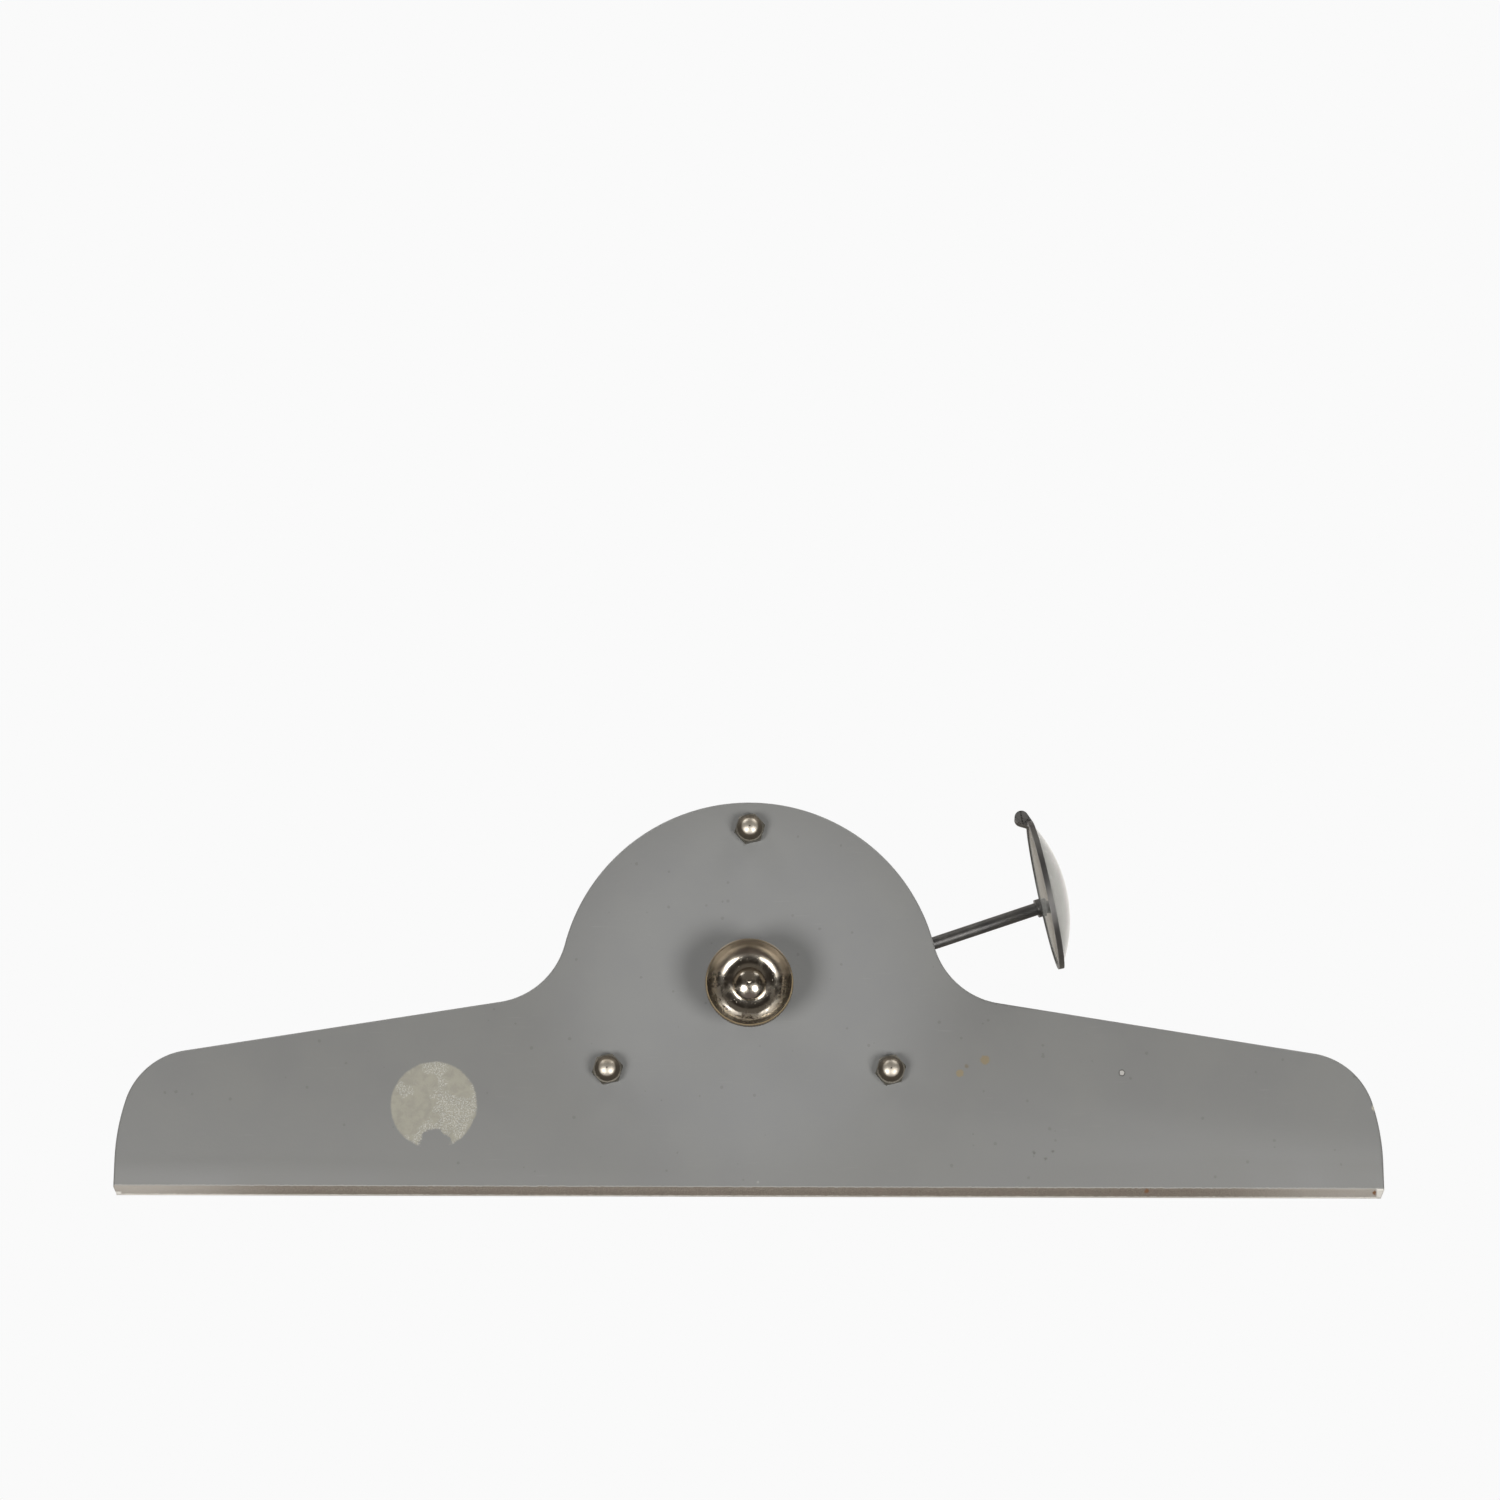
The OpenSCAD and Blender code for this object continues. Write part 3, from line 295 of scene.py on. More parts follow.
def figure_shape(text):
    """Points and faces of a figure, one millimetre high and centred, from the plain built-in letters."""
    if text not in FIGURE_SHAPES:
        curve = bpy.data.curves.new("figure", "FONT")
        curve.body, curve.align_x, curve.align_y = text, "CENTER", "CENTER"
        curve.size, curve.extrude, curve.resolution_u = 1.4, 0.5, 4
        blank = bpy.data.objects.new("figure", curve)
        bpy.context.scene.collection.objects.link(blank)
        mesh = bpy.data.meshes.new_from_object(blank.evaluated_get(bpy.context.evaluated_depsgraph_get()))
        FIGURE_SHAPES[text] = ([tuple(v.co) for v in mesh.vertices],
                               [tuple(p.vertices) for p in mesh.polygons])
        bpy.data.objects.remove(blank)
    return FIGURE_SHAPES[text]


def on_drum(angle, along, y, lift):
    """A point on the divided surface, clockwise from the top as seen from the front."""
    a = math.radians(angle) + along / DIAL_R
    r = DIAL_R + lift
    return (r * math.sin(a), y, AXIS_Z + r * math.cos(a))


def add_line(bm, angle, y0, y1, width):
    corners = [(-width / 2, y0), (width / 2, y0), (width / 2, y1), (-width / 2, y1)]
    loft(bm, [[on_drum(angle, u, y, h) for u, y in corners] for h in INK_HEIGHTS])


def add_figure(bm, text, angle, offset, y, height):
    points, faces = figure_shape(text)
    low, high = INK_HEIGHTS
    verts = [bm.verts.new(on_drum(angle, offset + u * height, y + v * height, high if w > 0 else low))
             for u, v, w in points]
    for f in faces:
        if len(set(f)) > 2:
            try:
                bm.faces.new([verts[i] for i in f])
            except ValueError:
                pass


def dial_graduations(bm):
    """A line at each degree, longer at each fifth and tenth."""
    y = DIAL_LINE_Y
    for degree in range(360):
        length = 3.0 if degree % 10 == 0 else 2.3 if degree % 5 == 0 else 1.6
        add_line(bm, degree, y, y + length, LINE_W if degree % 10 else TEN_LINE_W)


def dial_figures(side):
    """Figures every ten degrees, counted up to 90 and down again: one half each colour."""
    def build(bm):
        for degree in range(0, 360, 10):
            right = degree <= 180
            if (side > 0) != right:
                continue
            value = degree % 180
            value = value if value <= 90 else 180 - value
            add_figure(bm, str(value), degree, 0.0, DIAL_FIGURE_Y, DIAL_FIGURE_H)
    return build


def vernier_graduations(bm):
    """Sixty lines that take up one degree less than the whole turn."""
    for i in range(60):
        length = 1.9 if i % 5 == 0 else 1.2
        add_line(bm, i * 359 / 60, VERNIER_LINE_Y - length, VERNIER_LINE_Y, LINE_W)


def vernier_figures(side):
    """Minutes in fives, counted one way on each side of their lines."""
    def build(bm):
        for i in range(0, 60, 5):
            value = i if side > 0 else (60 - i) % 60
            add_figure(bm, str(value), i * 359 / 60, side * VERNIER_FIGURE_SHIFT, VERNIER_FIGURE_Y,
                       VERNIER_FIGURE_H)
    return build


GRADUATIONS = [
    ("dial_lines", dial_graduations, "drum", "ink_black"),
    ("dial_figures_black", dial_figures(1), "drum", "ink_black"),
    ("dial_figures_red", dial_figures(-1), "drum", "ink_red"),
    ("vernier_lines", vernier_graduations, "vernier", "ink_black"),
    ("vernier_figures_black", vernier_figures(1), "vernier", "ink_black"),
    ("vernier_figures_red", vernier_figures(-1), "vernier", "ink_red"),
]
graduations = {name: new_piece(name, mesh_from(name, build), body)
               for name, build, body, _ in GRADUATIONS}


# Short ways to add shader nodes

def srgb(r, g, b):
    """A colour as it is seen, 0 to 255, in the linear values that shaders use."""
    linear = [c / 255 / 12.92 if c <= 10 else ((c / 255 + 0.055) / 1.055) ** 2.4 for c in (r, g, b)]
    return (*linear, 1.0)


def add(tree, kind, sockets=None, **settings):
    node = tree.nodes.new("ShaderNode" + kind)
    for key, value in settings.items():
        setattr(node, key, value)
    for key, value in (sockets or {}).items():
        plug(tree, value, node.inputs[key])
    return node


def plug(tree, value, socket):
    if isinstance(value, bpy.types.NodeSocket):
        tree.links.new(value, socket)
    else:
        socket.default_value = value


def calc(tree, operation, a, b=0.0, c=0.0, clamp=False):
    node = add(tree, "Math", operation=operation, use_clamp=clamp)
    for socket, value in zip(node.inputs, (a, b, c)):
        plug(tree, value, socket)
    return node.outputs[0]


def times(tree, first, *others):
    for other in others:
        first = calc(tree, "MULTIPLY", first, other)
    return first


def flipped(tree, mask):
    return calc(tree, "SUBTRACT", 1.0, mask)


def crossfade(tree, mask, a, b):
    """The value a where the mask is 0, and b where it is 1."""
    return calc(tree, "ADD", times(tree, a, flipped(tree, mask)), times(tree, b, mask))


def blend_colours(tree, factor, a, b, how="MIX"):
    node = add(tree, "Mix", data_type="RGBA", blend_type=how)
    for index, value in ((0, factor), (6, a), (7, b)):
        plug(tree, value, node.inputs[index])
    return node.outputs[2]


def rescale(tree, value, low, high, to_low=0.0, to_high=1.0):
    node = add(tree, "MapRange", {"Value": value, "From Min": low, "From Max": high,
                                  "To Min": to_low, "To Max": to_high}, interpolation_type="SMOOTHSTEP")
    return node.outputs["Result"]


def object_place(tree):
    return add(tree, "TexCoord").outputs["Object"]


def noise(tree, scale, detail=2.0, roughness=0.5, place=None, distortion=0.0):
    node = add(tree, "TexNoise", {"Vector": place or object_place(tree), "Scale": scale, "Detail": detail,
                                  "Roughness": roughness, "Distortion": distortion})
    return node.outputs["Fac"]


def make_effect(name, inputs, outputs, build):
    """A shader node group: build gets the tree and the input sockets, and returns the outputs."""
    tree = bpy.data.node_groups.new(name, "ShaderNodeTree")
    for label, kind, value in inputs:
        socket = tree.interface.new_socket(label, in_out="INPUT", socket_type="NodeSocket" + kind)
        socket.default_value = value
    for label in outputs:
        tree.interface.new_socket(label, in_out="OUTPUT", socket_type="NodeSocketFloat")
    start = tree.nodes.new("NodeGroupInput")
    end = tree.nodes.new("NodeGroupOutput")
    results = build(tree, {label: start.outputs[label] for label, _, _ in inputs})
    for label in outputs:
        tree.links.new(results[label], end.inputs[label])
    return tree


def effect(tree, group, **values):
    """Places an effect in a material, with spaces in its sockets' names written as underscores."""
    node = tree.nodes.new("ShaderNodeGroup")
    node.node_tree = group
    for key, value in values.items():
        plug(tree, value, node.inputs[key.replace("_", " ")])
    return node.outputs


# Effects that several finishes share

def build_edge_wear(tree, at):
    """Where an edge is near, broken up by noise."""
    soft = add(tree, "Bevel", {"Radius": at["Radius"]}, samples=4).outputs["Normal"]
    flat = add(tree, "NewGeometry").outputs["Normal"]
    near = add(tree, "VectorMath", {0: soft, 1: flat}, operation="DOT_PRODUCT").outputs["Value"]
    edge = rescale(tree, flipped(tree, near), 0.01, 0.12)
    ragged = rescale(tree, noise(tree, at["Breakup Scale"], 4.0, 0.65), at["Cover"], 0.7)
    return {"Mask": calc(tree, "MULTIPLY", edge, ragged, clamp=True)}


def build_fine_grain(tree, at):
    """Two sizes of soft unevenness, such as orange peel or a polished skin."""
    coarse = noise(tree, at["Scale"], 1.0, 0.5)
    fine = noise(tree, calc(tree, "MULTIPLY", at["Scale"], 3.7), 2.0, 0.6)
    height = calc(tree, "MULTIPLY_ADD", fine, at["Fine Share"], coarse)
    return {"Height": height, "Mottle": noise(tree, calc(tree, "MULTIPLY", at["Scale"], 0.045), 3.0, 0.6)}


def build_hairlines(tree, at):
    """Sparse straight scratches in two directions."""
    place = object_place(tree)
    masks = []
    for turn in (0.5, -0.9):
        turned = add(tree, "Mapping", {"Vector": place, "Rotation": (turn * 0.4, turn, turn * 0.7),
                                       "Scale": (0.045, 1.0, 1.0)}).outputs["Vector"]
        masks.append(rescale(tree, noise(tree, at["Scale"], 1.0, 0.4, turned), at["Threshold"], 0.86))
    patches = rescale(tree, noise(tree, calc(tree, "MULTIPLY", at["Scale"], 0.03), 2.0), 0.42, 0.62)
    both = calc(tree, "MAXIMUM", *masks)
    return {"Mask": calc(tree, "MULTIPLY", both, patches, clamp=True)}


def build_axis_distance(tree, at):
    """Distance from an axis that goes from front to back, and depth along it, in metres."""
    away = add(tree, "VectorMath", {0: object_place(tree), 1: at["Centre"]}, operation="SUBTRACT").outputs[0]
    flat = add(tree, "VectorMath", {0: away, 1: (1.0, 0.0, 1.0)}, operation="MULTIPLY").outputs[0]
    return {"Distance": add(tree, "VectorMath", {0: flat}, operation="LENGTH").outputs["Value"],
            "Depth": add(tree, "SeparateXYZ", {0: away}).outputs["Y"]}


def build_lathe_lines(tree, at):
    """Fine rings left by turning, about an axis from front to back."""
    place = build_axis_distance(tree, at)
    along = calc(tree, "ADD", place["Distance"], times(tree, place["Depth"], 0.8))
    rings = add(tree, "TexNoise", {"W": along, "Scale": at["Scale"], "Detail": 3.0, "Roughness": 0.7},
                noise_dimensions="1D")
    return {"Height": rings.outputs["Fac"]}


def build_tarnish(tree, at):
    """Cloudy blotches with a ragged edge."""
    broad = noise(tree, at["Scale"], 5.0, 0.68, distortion=0.4)
    return {"Mask": rescale(tree, broad, at["Start"], at["Full"])}


def build_specks(tree, at):
    """Small round pits or specks, in some places only."""
    cells = add(tree, "TexVoronoi", {"Vector": object_place(tree), "Scale": at["Scale"], "Randomness": 1.0})
    size = add(tree, "SeparateColor", {0: cells.outputs["Color"]}).outputs[0]
    limit = rescale(tree, size, at["Rarity"], 1.0, 0.0, 0.34)
    ragged = calc(tree, "MULTIPLY_ADD", noise(tree, times(tree, at["Scale"], 4.0), 2.0), 0.16,
                  calc(tree, "SUBTRACT", cells.outputs["Distance"], 0.08))
    inside = rescale(tree, calc(tree, "SUBTRACT", limit, ragged), 0.0, 0.05)
    return {"Mask": times(tree, inside, calc(tree, "GREATER_THAN", limit, 0.02))}


AXIS = (0.0, 0.0, AXIS_Z * MM)
AXIS_DISTANCE = make_effect("axis_distance", [("Centre", "Vector", AXIS)], ["Distance", "Depth"],
                            build_axis_distance)
EDGE_WEAR = make_effect("edge_wear", [("Radius", "Float", 0.0006), ("Breakup Scale", "Float", 900.0),
                                      ("Cover", "Float", 0.35)], ["Mask"], build_edge_wear)
FINE_GRAIN = make_effect("fine_grain", [("Scale", "Float", 1500.0), ("Fine Share", "Float", 0.4)],
                         ["Height", "Mottle"], build_fine_grain)
HAIRLINES = make_effect("hairlines", [("Scale", "Float", 2500.0), ("Threshold", "Float", 0.68)],
                        ["Mask"], build_hairlines)
LATHE_LINES = make_effect("lathe_lines", [("Centre", "Vector", AXIS), ("Scale", "Float", 9000.0)],
                          ["Height"], build_lathe_lines)
TARNISH = make_effect("tarnish", [("Scale", "Float", 220.0), ("Start", "Float", 0.5),
                                  ("Full", "Float", 0.7)], ["Mask"], build_tarnish)
SPECKS = make_effect("specks", [("Scale", "Float", 400.0), ("Rarity", "Float", 0.8)], ["Mask"], build_specks)


class Finish:
    """A material, its node tree and its Principled shader."""

    def __init__(self, name, **constants):
        self.material = bpy.data.materials.new(name)
        self.material.use_nodes = True
        self.tree = self.material.node_tree
        self.shader = self.tree.nodes["Principled BSDF"]
        for key, value in constants.items():
            self.shader.inputs[key.replace("_", " ")].default_value = value

    def feed(self, **sockets):
        for key, value in sockets.items():
            plug(self.tree, value, self.shader.inputs[key.replace("_", " ")])

    def bump(self, height, distance, strength=1.0, normal=None):
        node = add(self.tree, "Bump", {"Height": height, "Distance": distance, "Strength": strength})
        if normal is not None:
            plug(self.tree, normal, node.inputs["Normal"])
        return node.outputs["Normal"]


# Paint, the marks of use and the painted shade on the casting: places and radii in millimetres

STAINS = [
    ((50.9, 29.7), 0.9, (150, 134, 100), 0.75), ((57.0, 32.9), 1.1, (146, 128, 92), 0.7),
    ((52.6, 31.4), 0.45, (120, 104, 76), 0.6), ((151.0, 21.6), 0.9, (205, 198, 178), 0.9),
    ((2.2, 3.4), 0.18, (186, 184, 178), 0.7), ((68.5, 10.6), 0.35, (96, 93, 88), 0.7),
    ((71.2, 9.2), 0.3, (96, 93, 88), 0.7), ((73.0, 10.9), 0.25, (96, 93, 88), 0.7),
]
CHIP = (90.0, 29.9)
ROUND_MARK, ROUND_MARK_R = (-75.9, 21.7), 10.35
TORN, TORN_R = (-75.5, 12.2), 3.7
RUST_SPOTS = [((95.4, 1.6), 0.5, 0.3, 1.0), ((150.0, 1.3), 0.45, 0.2, 0.9)]
# In metres: how deep the front face counts as reaching, and where the foot's front and ends start
FACE_END_Y, FOOT_FRONT_Y, FOOT_END_X = -0.0136, -0.0126, 0.1515


def grey_paint(name, marks=False):
    """Satin grey stove enamel with a painted highlight along its edges; with marks, also the bare foot, the
    marks of use and a painted shade on the casting.
    """
    f = Finish(name, Metallic=0.0)
    t = f.tree
    peel = effect(t, FINE_GRAIN, Scale=1300.0, Fine_Share=0.35)
    cloud = rescale(t, peel["Mottle"], 0.3, 0.7)
    colour = blend_colours(t, cloud, srgb(143, 143, 142), srgb(145, 145, 143))
    lines = effect(t, HAIRLINES, Scale=2600.0, Threshold=0.69)["Mask"]
    colour = blend_colours(t, times(t, lines, 0.2), colour, srgb(176, 175, 171))
    specks = effect(t, SPECKS, Scale=760.0, Rarity=0.96)["Mask"]
    colour = blend_colours(t, times(t, specks, 0.3), colour, srgb(108, 106, 101))
    # Lighter paint along the edges: wear, and a painted highlight on the rounded edges
    edge = effect(t, EDGE_WEAR, Radius=0.0007, Breakup_Scale=700.0, Cover=0.3)["Mask"]
    colour = blend_colours(t, times(t, edge, 0.5), colour, srgb(178, 177, 173))
    rough = rescale(t, peel["Mottle"], 0.2, 0.8, 0.44, 0.52)
    rough = calc(t, "ADD", rough, times(t, lines, 0.12))
    height = peel["Height"]
    if marks:
        at = places_on_casting(t)
        # Painted shade across the plate's face
        colour = handled_face(t, at, colour)
        colour, rough, height = round_mark(t, at, colour, rough, height)
        colour, height, chip = stains_and_chip(t, at, colour, height)
        colour, rough, height, metal = bare_foot(t, at, chip, colour, rough, height)
        f.feed(Metallic=metal)
    round_edges = add(t, "Bevel", {"Radius": 0.0005}, samples=4).outputs["Normal"]
    f.feed(Base_Color=colour, Roughness=rough,
           Normal=f.bump(height, 0.00004, 0.55, round_edges))
    return f.material


def places_on_casting(t):
    """A point's place on the casting in metres, how far it faces up, and whether it is in the front face."""
    x, y, z = add(t, "SeparateXYZ", {0: object_place(t)}).outputs
    up = add(t, "SeparateXYZ", {0: add(t, "TexCoord").outputs["Normal"]}).outputs["Z"]
    return {"x": x, "y": y, "z": z, "side": calc(t, "ABSOLUTE", x), "up": up,
            "front": calc(t, "LESS_THAN", y, FACE_END_Y)}


def disc_mask(t, at, centre, radius, soft, ragged, scale):
    """Inside a round mark on the plate's face, with a ragged edge."""
    dx, dz = calc(t, "SUBTRACT", at["x"], centre[0] * MM), calc(t, "SUBTRACT", at["z"], centre[1] * MM)
    away = calc(t, "SQRT", calc(t, "ADD", times(t, dx, dx), times(t, dz, dz)))
    tear = calc(t, "SUBTRACT", noise(t, scale, 4.0, 0.7), 0.5)
    away = calc(t, "MULTIPLY_ADD", tear, ragged * MM, away)
    return rescale(t, away, (radius + soft) * MM, (radius - soft) * MM)


def handled_face(t, at, colour):
    """Painted shade: a slight darkening away from the middle of the plate, less at its very ends, and low
    down towards its ends.
    """
    away = effect(t, AXIS_DISTANCE)["Distance"]
    face_shade = calc(t, "SUBTRACT", rescale(t, away, 0.026, 0.058, 0.0, 0.9),
                   rescale(t, at["side"], 0.115, 0.15, 0.0, 0.1), clamp=True)
    low_end_shade = times(t, rescale(t, at["side"], 0.05, 0.13), rescale(t, at["z"], 0.011, 0.002))
    face_shade = calc(t, "MULTIPLY_ADD", low_end_shade, 0.7, face_shade)
    return blend_colours(t, face_shade, colour, srgb(232, 231, 228), "MULTIPLY")


def round_mark(t, at, colour, rough, height):
    """The film that a round sticker left, with pale flakes, and torn at the bottom."""
    residue = disc_mask(t, at, ROUND_MARK, ROUND_MARK_R, 0.3, 0.9, 700.0)
    torn = disc_mask(t, at, TORN, TORN_R, 0.35, 4.2, 520.0)
    residue = times(t, residue, flipped(t, torn), at["front"])
    thin = effect(t, TARNISH, Scale=420.0, Start=0.36, Full=0.68)["Mask"]
    film = blend_colours(t, thin, srgb(168, 164, 149), srgb(160, 156, 142))
    flakes = times(t, rescale(t, noise(t, 3000.0, 2.0, 0.6), 0.5, 0.6),
                   rescale(t, noise(t, 170.0, 2.0), 0.5, 0.56), 0.85)
    film = blend_colours(t, flakes, film, srgb(206, 205, 197))
    cover = times(t, residue, rescale(t, thin, 0.0, 1.0, 0.95, 0.84))
    colour = blend_colours(t, cover, colour, film)
    rough = calc(t, "ADD", rough, times(t, residue, 0.22))
    raised = times(t, residue, calc(t, "MULTIPLY_ADD", thin, -0.6, 1.2))
    return colour, rough, calc(t, "ADD", height, raised)


def stains_and_chip(t, at, colour, height):
    """Small stains, and a chip in the paint with a dark rim."""
    for centre, radius, seen, strength in STAINS:
        spot = times(t, disc_mask(t, at, centre, radius, 0.25, 1.1, 1500.0), at["front"], strength)
        colour = blend_colours(t, spot, colour, srgb(*seen))
    chip = times(t, disc_mask(t, at, CHIP, 0.55, 0.08, 0.5, 2200.0), at["front"])
    rim = times(t, disc_mask(t, at, CHIP, 0.8, 0.1, 0.5, 2200.0), at["front"])
    colour = blend_colours(t, rim, colour, srgb(84, 82, 79))
    return colour, calc(t, "SUBTRACT", height, times(t, rim, 2.0)), chip


def bare_foot(t, at, chip, colour, rough, height):
    """The ground steel of the foot with its rust and rubbed edges, and the metal in the chip."""
    z, side = at["z"], at["side"]
    paint_end = calc(t, "MULTIPLY_ADD", noise(t, 1400.0, 3.0, 0.7), 0.0005, 0.00195)
    outer = calc(t, "MAXIMUM", calc(t, "LESS_THAN", at["y"], FOOT_FRONT_Y),
                 calc(t, "GREATER_THAN", side, FOOT_END_X))
    bare = calc(t, "MAXIMUM", times(t, calc(t, "LESS_THAN", z, paint_end), outer),
                calc(t, "LESS_THAN", at["up"], -0.4))
    lip = calc(t, "LESS_THAN", z, calc(t, "ADD", paint_end, 0.00024))
    colour = blend_colours(t, times(t, lip, outer, flipped(t, bare), 0.6), colour, srgb(178, 175, 168))

    grit = rescale(t, noise(t, 5200.0, 3.0, 0.75), 0.38, 0.62)
    rust = effect(t, TARNISH, Scale=330.0, Start=0.4, Full=0.7)["Mask"]
    spots = calc(t, "MAXIMUM", *[disc_mask(t, at, *spot, 1900.0) for spot in RUST_SPOTS])
    end = rescale(t, side, 0.105, 0.148)
    steel = blend_colours(t, grit, srgb(108, 100, 89), srgb(140, 131, 119))
    steel = blend_colours(t, times(t, rust, 0.5), steel, srgb(116, 103, 92))
    steel = blend_colours(t, times(t, end, 0.62), steel, srgb(188, 182, 173))
    edge_high = calc(t, "MULTIPLY_ADD", noise(t, 900.0, 3.0, 0.7), 0.0003, 0.00016)
    rubbed = times(t, calc(t, "LESS_THAN", z, edge_high), calc(t, "MULTIPLY_ADD", end, 0.35, 0.6))
    steel = blend_colours(t, rubbed, steel, srgb(236, 231, 222))
    corner_high = rescale(t, at["x"], -0.1, 0.1, 0.0008, 0.003)
    corner = times(t, rescale(t, side, 0.1502, 0.1508), calc(t, "LESS_THAN", z, corner_high))
    steel = blend_colours(t, corner, steel, srgb(226, 222, 214))
    steel = blend_colours(t, spots, steel, srgb(118, 80, 48))
    colour = blend_colours(t, bare, colour, steel)
    colour = blend_colours(t, chip, colour, srgb(205, 202, 196))

    dull = calc(t, "MAXIMUM", calc(t, "MULTIPLY_ADD", rust, 0.25, 0.55), spots, clamp=True)
    metal = times(t, calc(t, "MAXIMUM", bare, chip), flipped(t, dull))
    rough = crossfade(t, bare, rough, calc(t, "MULTIPLY_ADD", grit, 0.12, 0.42))
    ground = add(t, "Mapping", {"Vector": object_place(t), "Scale": (0.03, 1.0, 1.0)}).outputs["Vector"]
    grooves = calc(t, "ADD", noise(t, 6000.0, 2.0, 0.6, ground), grit)
    return colour, rough, crossfade(t, bare, height, grooves), metal


# Metals

def plated_nickel(name, worn, smooth, rub, sides, shade_colour, rim=None, hexagon_y=None):
    """Warm old nickel plate: bright where it faces outwards, with painted shade on its steep sides.

    The slopes in sides are where the painted shade starts and where it is full. A thumbscrew has a rim, in
    millimetres from the axis, and a dome nut has a dull hexagon behind hexagon_y.
    """
    f = Finish(name, Metallic=1.0)
    t = f.tree
    _, y, z = add(t, "SeparateXYZ", {0: object_place(t)}).outputs
    bloom = effect(t, TARNISH, Scale=260.0, Start=0.42, Full=0.72)["Mask"]
    colour = blend_colours(t, times(t, bloom, 0.5), srgb(214, 206, 192), srgb(176, 161, 139))
    # Painted shade: a darker colour on the sides that face away from the front
    slope = add(t, "SeparateXYZ", {0: add(t, "TexCoord").outputs["Normal"]}).outputs["Y"]
    steep_shade = rescale(t, calc(t, "ABSOLUTE", slope), *sides)
    colour = blend_colours(t, times(t, steep_shade, 0.88), colour, srgb(*shade_colour))
    pits = effect(t, SPECKS, Scale=3600.0, Rarity=1.0 - worn)["Mask"]
    colour = blend_colours(t, times(t, pits, 0.7), colour, srgb(84, 70, 54))
    rings = effect(t, LATHE_LINES, Scale=7000.0)["Height"]
    lines = effect(t, HAIRLINES, Scale=5200.0, Threshold=0.62)["Mask"]
    rough = calc(t, "ADD", rescale(t, bloom, 0.0, 1.0, smooth, rub), times(t, pits, 0.3))
    rough = calc(t, "MULTIPLY_ADD", steep_shade, 0.1, rough)
    if rim:
        colour, rough = dished_head(t, z, rim, steep_shade, shade_colour, colour, rough)
    if hexagon_y:
        flats = rescale(t, y, (hexagon_y - 0.25) * MM, (hexagon_y + 0.1) * MM)
        colour = blend_colours(t, flats, colour, srgb(128, 125, 116))
        rough = calc(t, "MAXIMUM", rough, times(t, flats, 0.5))
    edge = effect(t, EDGE_WEAR, Radius=0.0002, Breakup_Scale=1600.0, Cover=0.4)["Mask"]
    colour = blend_colours(t, times(t, edge, 0.4), colour, srgb(206, 188, 156))
    marks = calc(t, "ADD", times(t, pits, 2.0), times(t, lines, 0.8))
    height = calc(t, "SUBTRACT", times(t, rings, 0.5), marks)
    f.feed(Base_Color=colour, Roughness=rough, Normal=f.bump(height, 0.000012, 0.5))
    return f.material


def dished_head(t, z, rim, steep_shade, shade_colour, colour, rough):
    """A brassy rim round a milled edge with painted shade on its steep side, and a hollow that is chafed
    below and has painted shade above.
    """
    radius = effect(t, AXIS_DISTANCE)["Distance"]
    outer = calc(t, "GREATER_THAN", radius, (rim - 0.42) * MM)
    # Painted shade on the rim's steep milled side, and brassy wear on its face
    colour = blend_colours(t, times(t, outer, steep_shade), colour, srgb(112, 102, 86))
    colour = blend_colours(t, times(t, outer, flipped(t, steep_shade)), colour, srgb(196, 176, 142))
    chafed = times(t, rescale(t, radius, 0.0066, 0.0076), rescale(t, radius, 0.0094, 0.0086),
                   rescale(t, noise(t, 700.0, 4.0, 0.7), 0.4, 0.56), rescale(t, z, 0.053, 0.048))
    rough = calc(t, "MULTIPLY_ADD", chafed, 0.18, rough)
    # Painted shade over the upper part of the hollow
    shade_above = times(t, rescale(t, radius, 0.0064, 0.0074), rescale(t, z, 0.0505, 0.0535))
    colour = blend_colours(t, times(t, shade_above, 0.75), colour, srgb(*shade_colour))
    rough = calc(t, "MULTIPLY_ADD", shade_above, 0.12, rough)
    return colour, calc(t, "MAXIMUM", rough, times(t, outer, 0.46))


def turned_metal(name, fresh, aged, rough_low, rough_high):
    """Plain turned metal with lathe lines, light tarnish and bright worn edges."""
    f = Finish(name, Metallic=1.0)
    t = f.tree
    bloom = effect(t, TARNISH, Scale=300.0, Start=0.4, Full=0.72)["Mask"]
    colour = blend_colours(t, bloom, srgb(*fresh), srgb(*aged))
    edge = effect(t, EDGE_WEAR, Radius=0.0003, Breakup_Scale=1500.0, Cover=0.3)["Mask"]
    bright = [min(255, c + 28) for c in fresh]
    colour = blend_colours(t, times(t, edge, 0.6), colour, srgb(*bright))
    rings = effect(t, LATHE_LINES, Scale=8000.0)["Height"]
    f.feed(Base_Color=colour, Roughness=rescale(t, bloom, 0.0, 1.0, rough_low, rough_high),
           Normal=f.bump(rings, 0.00001, 0.6))
    return f.material


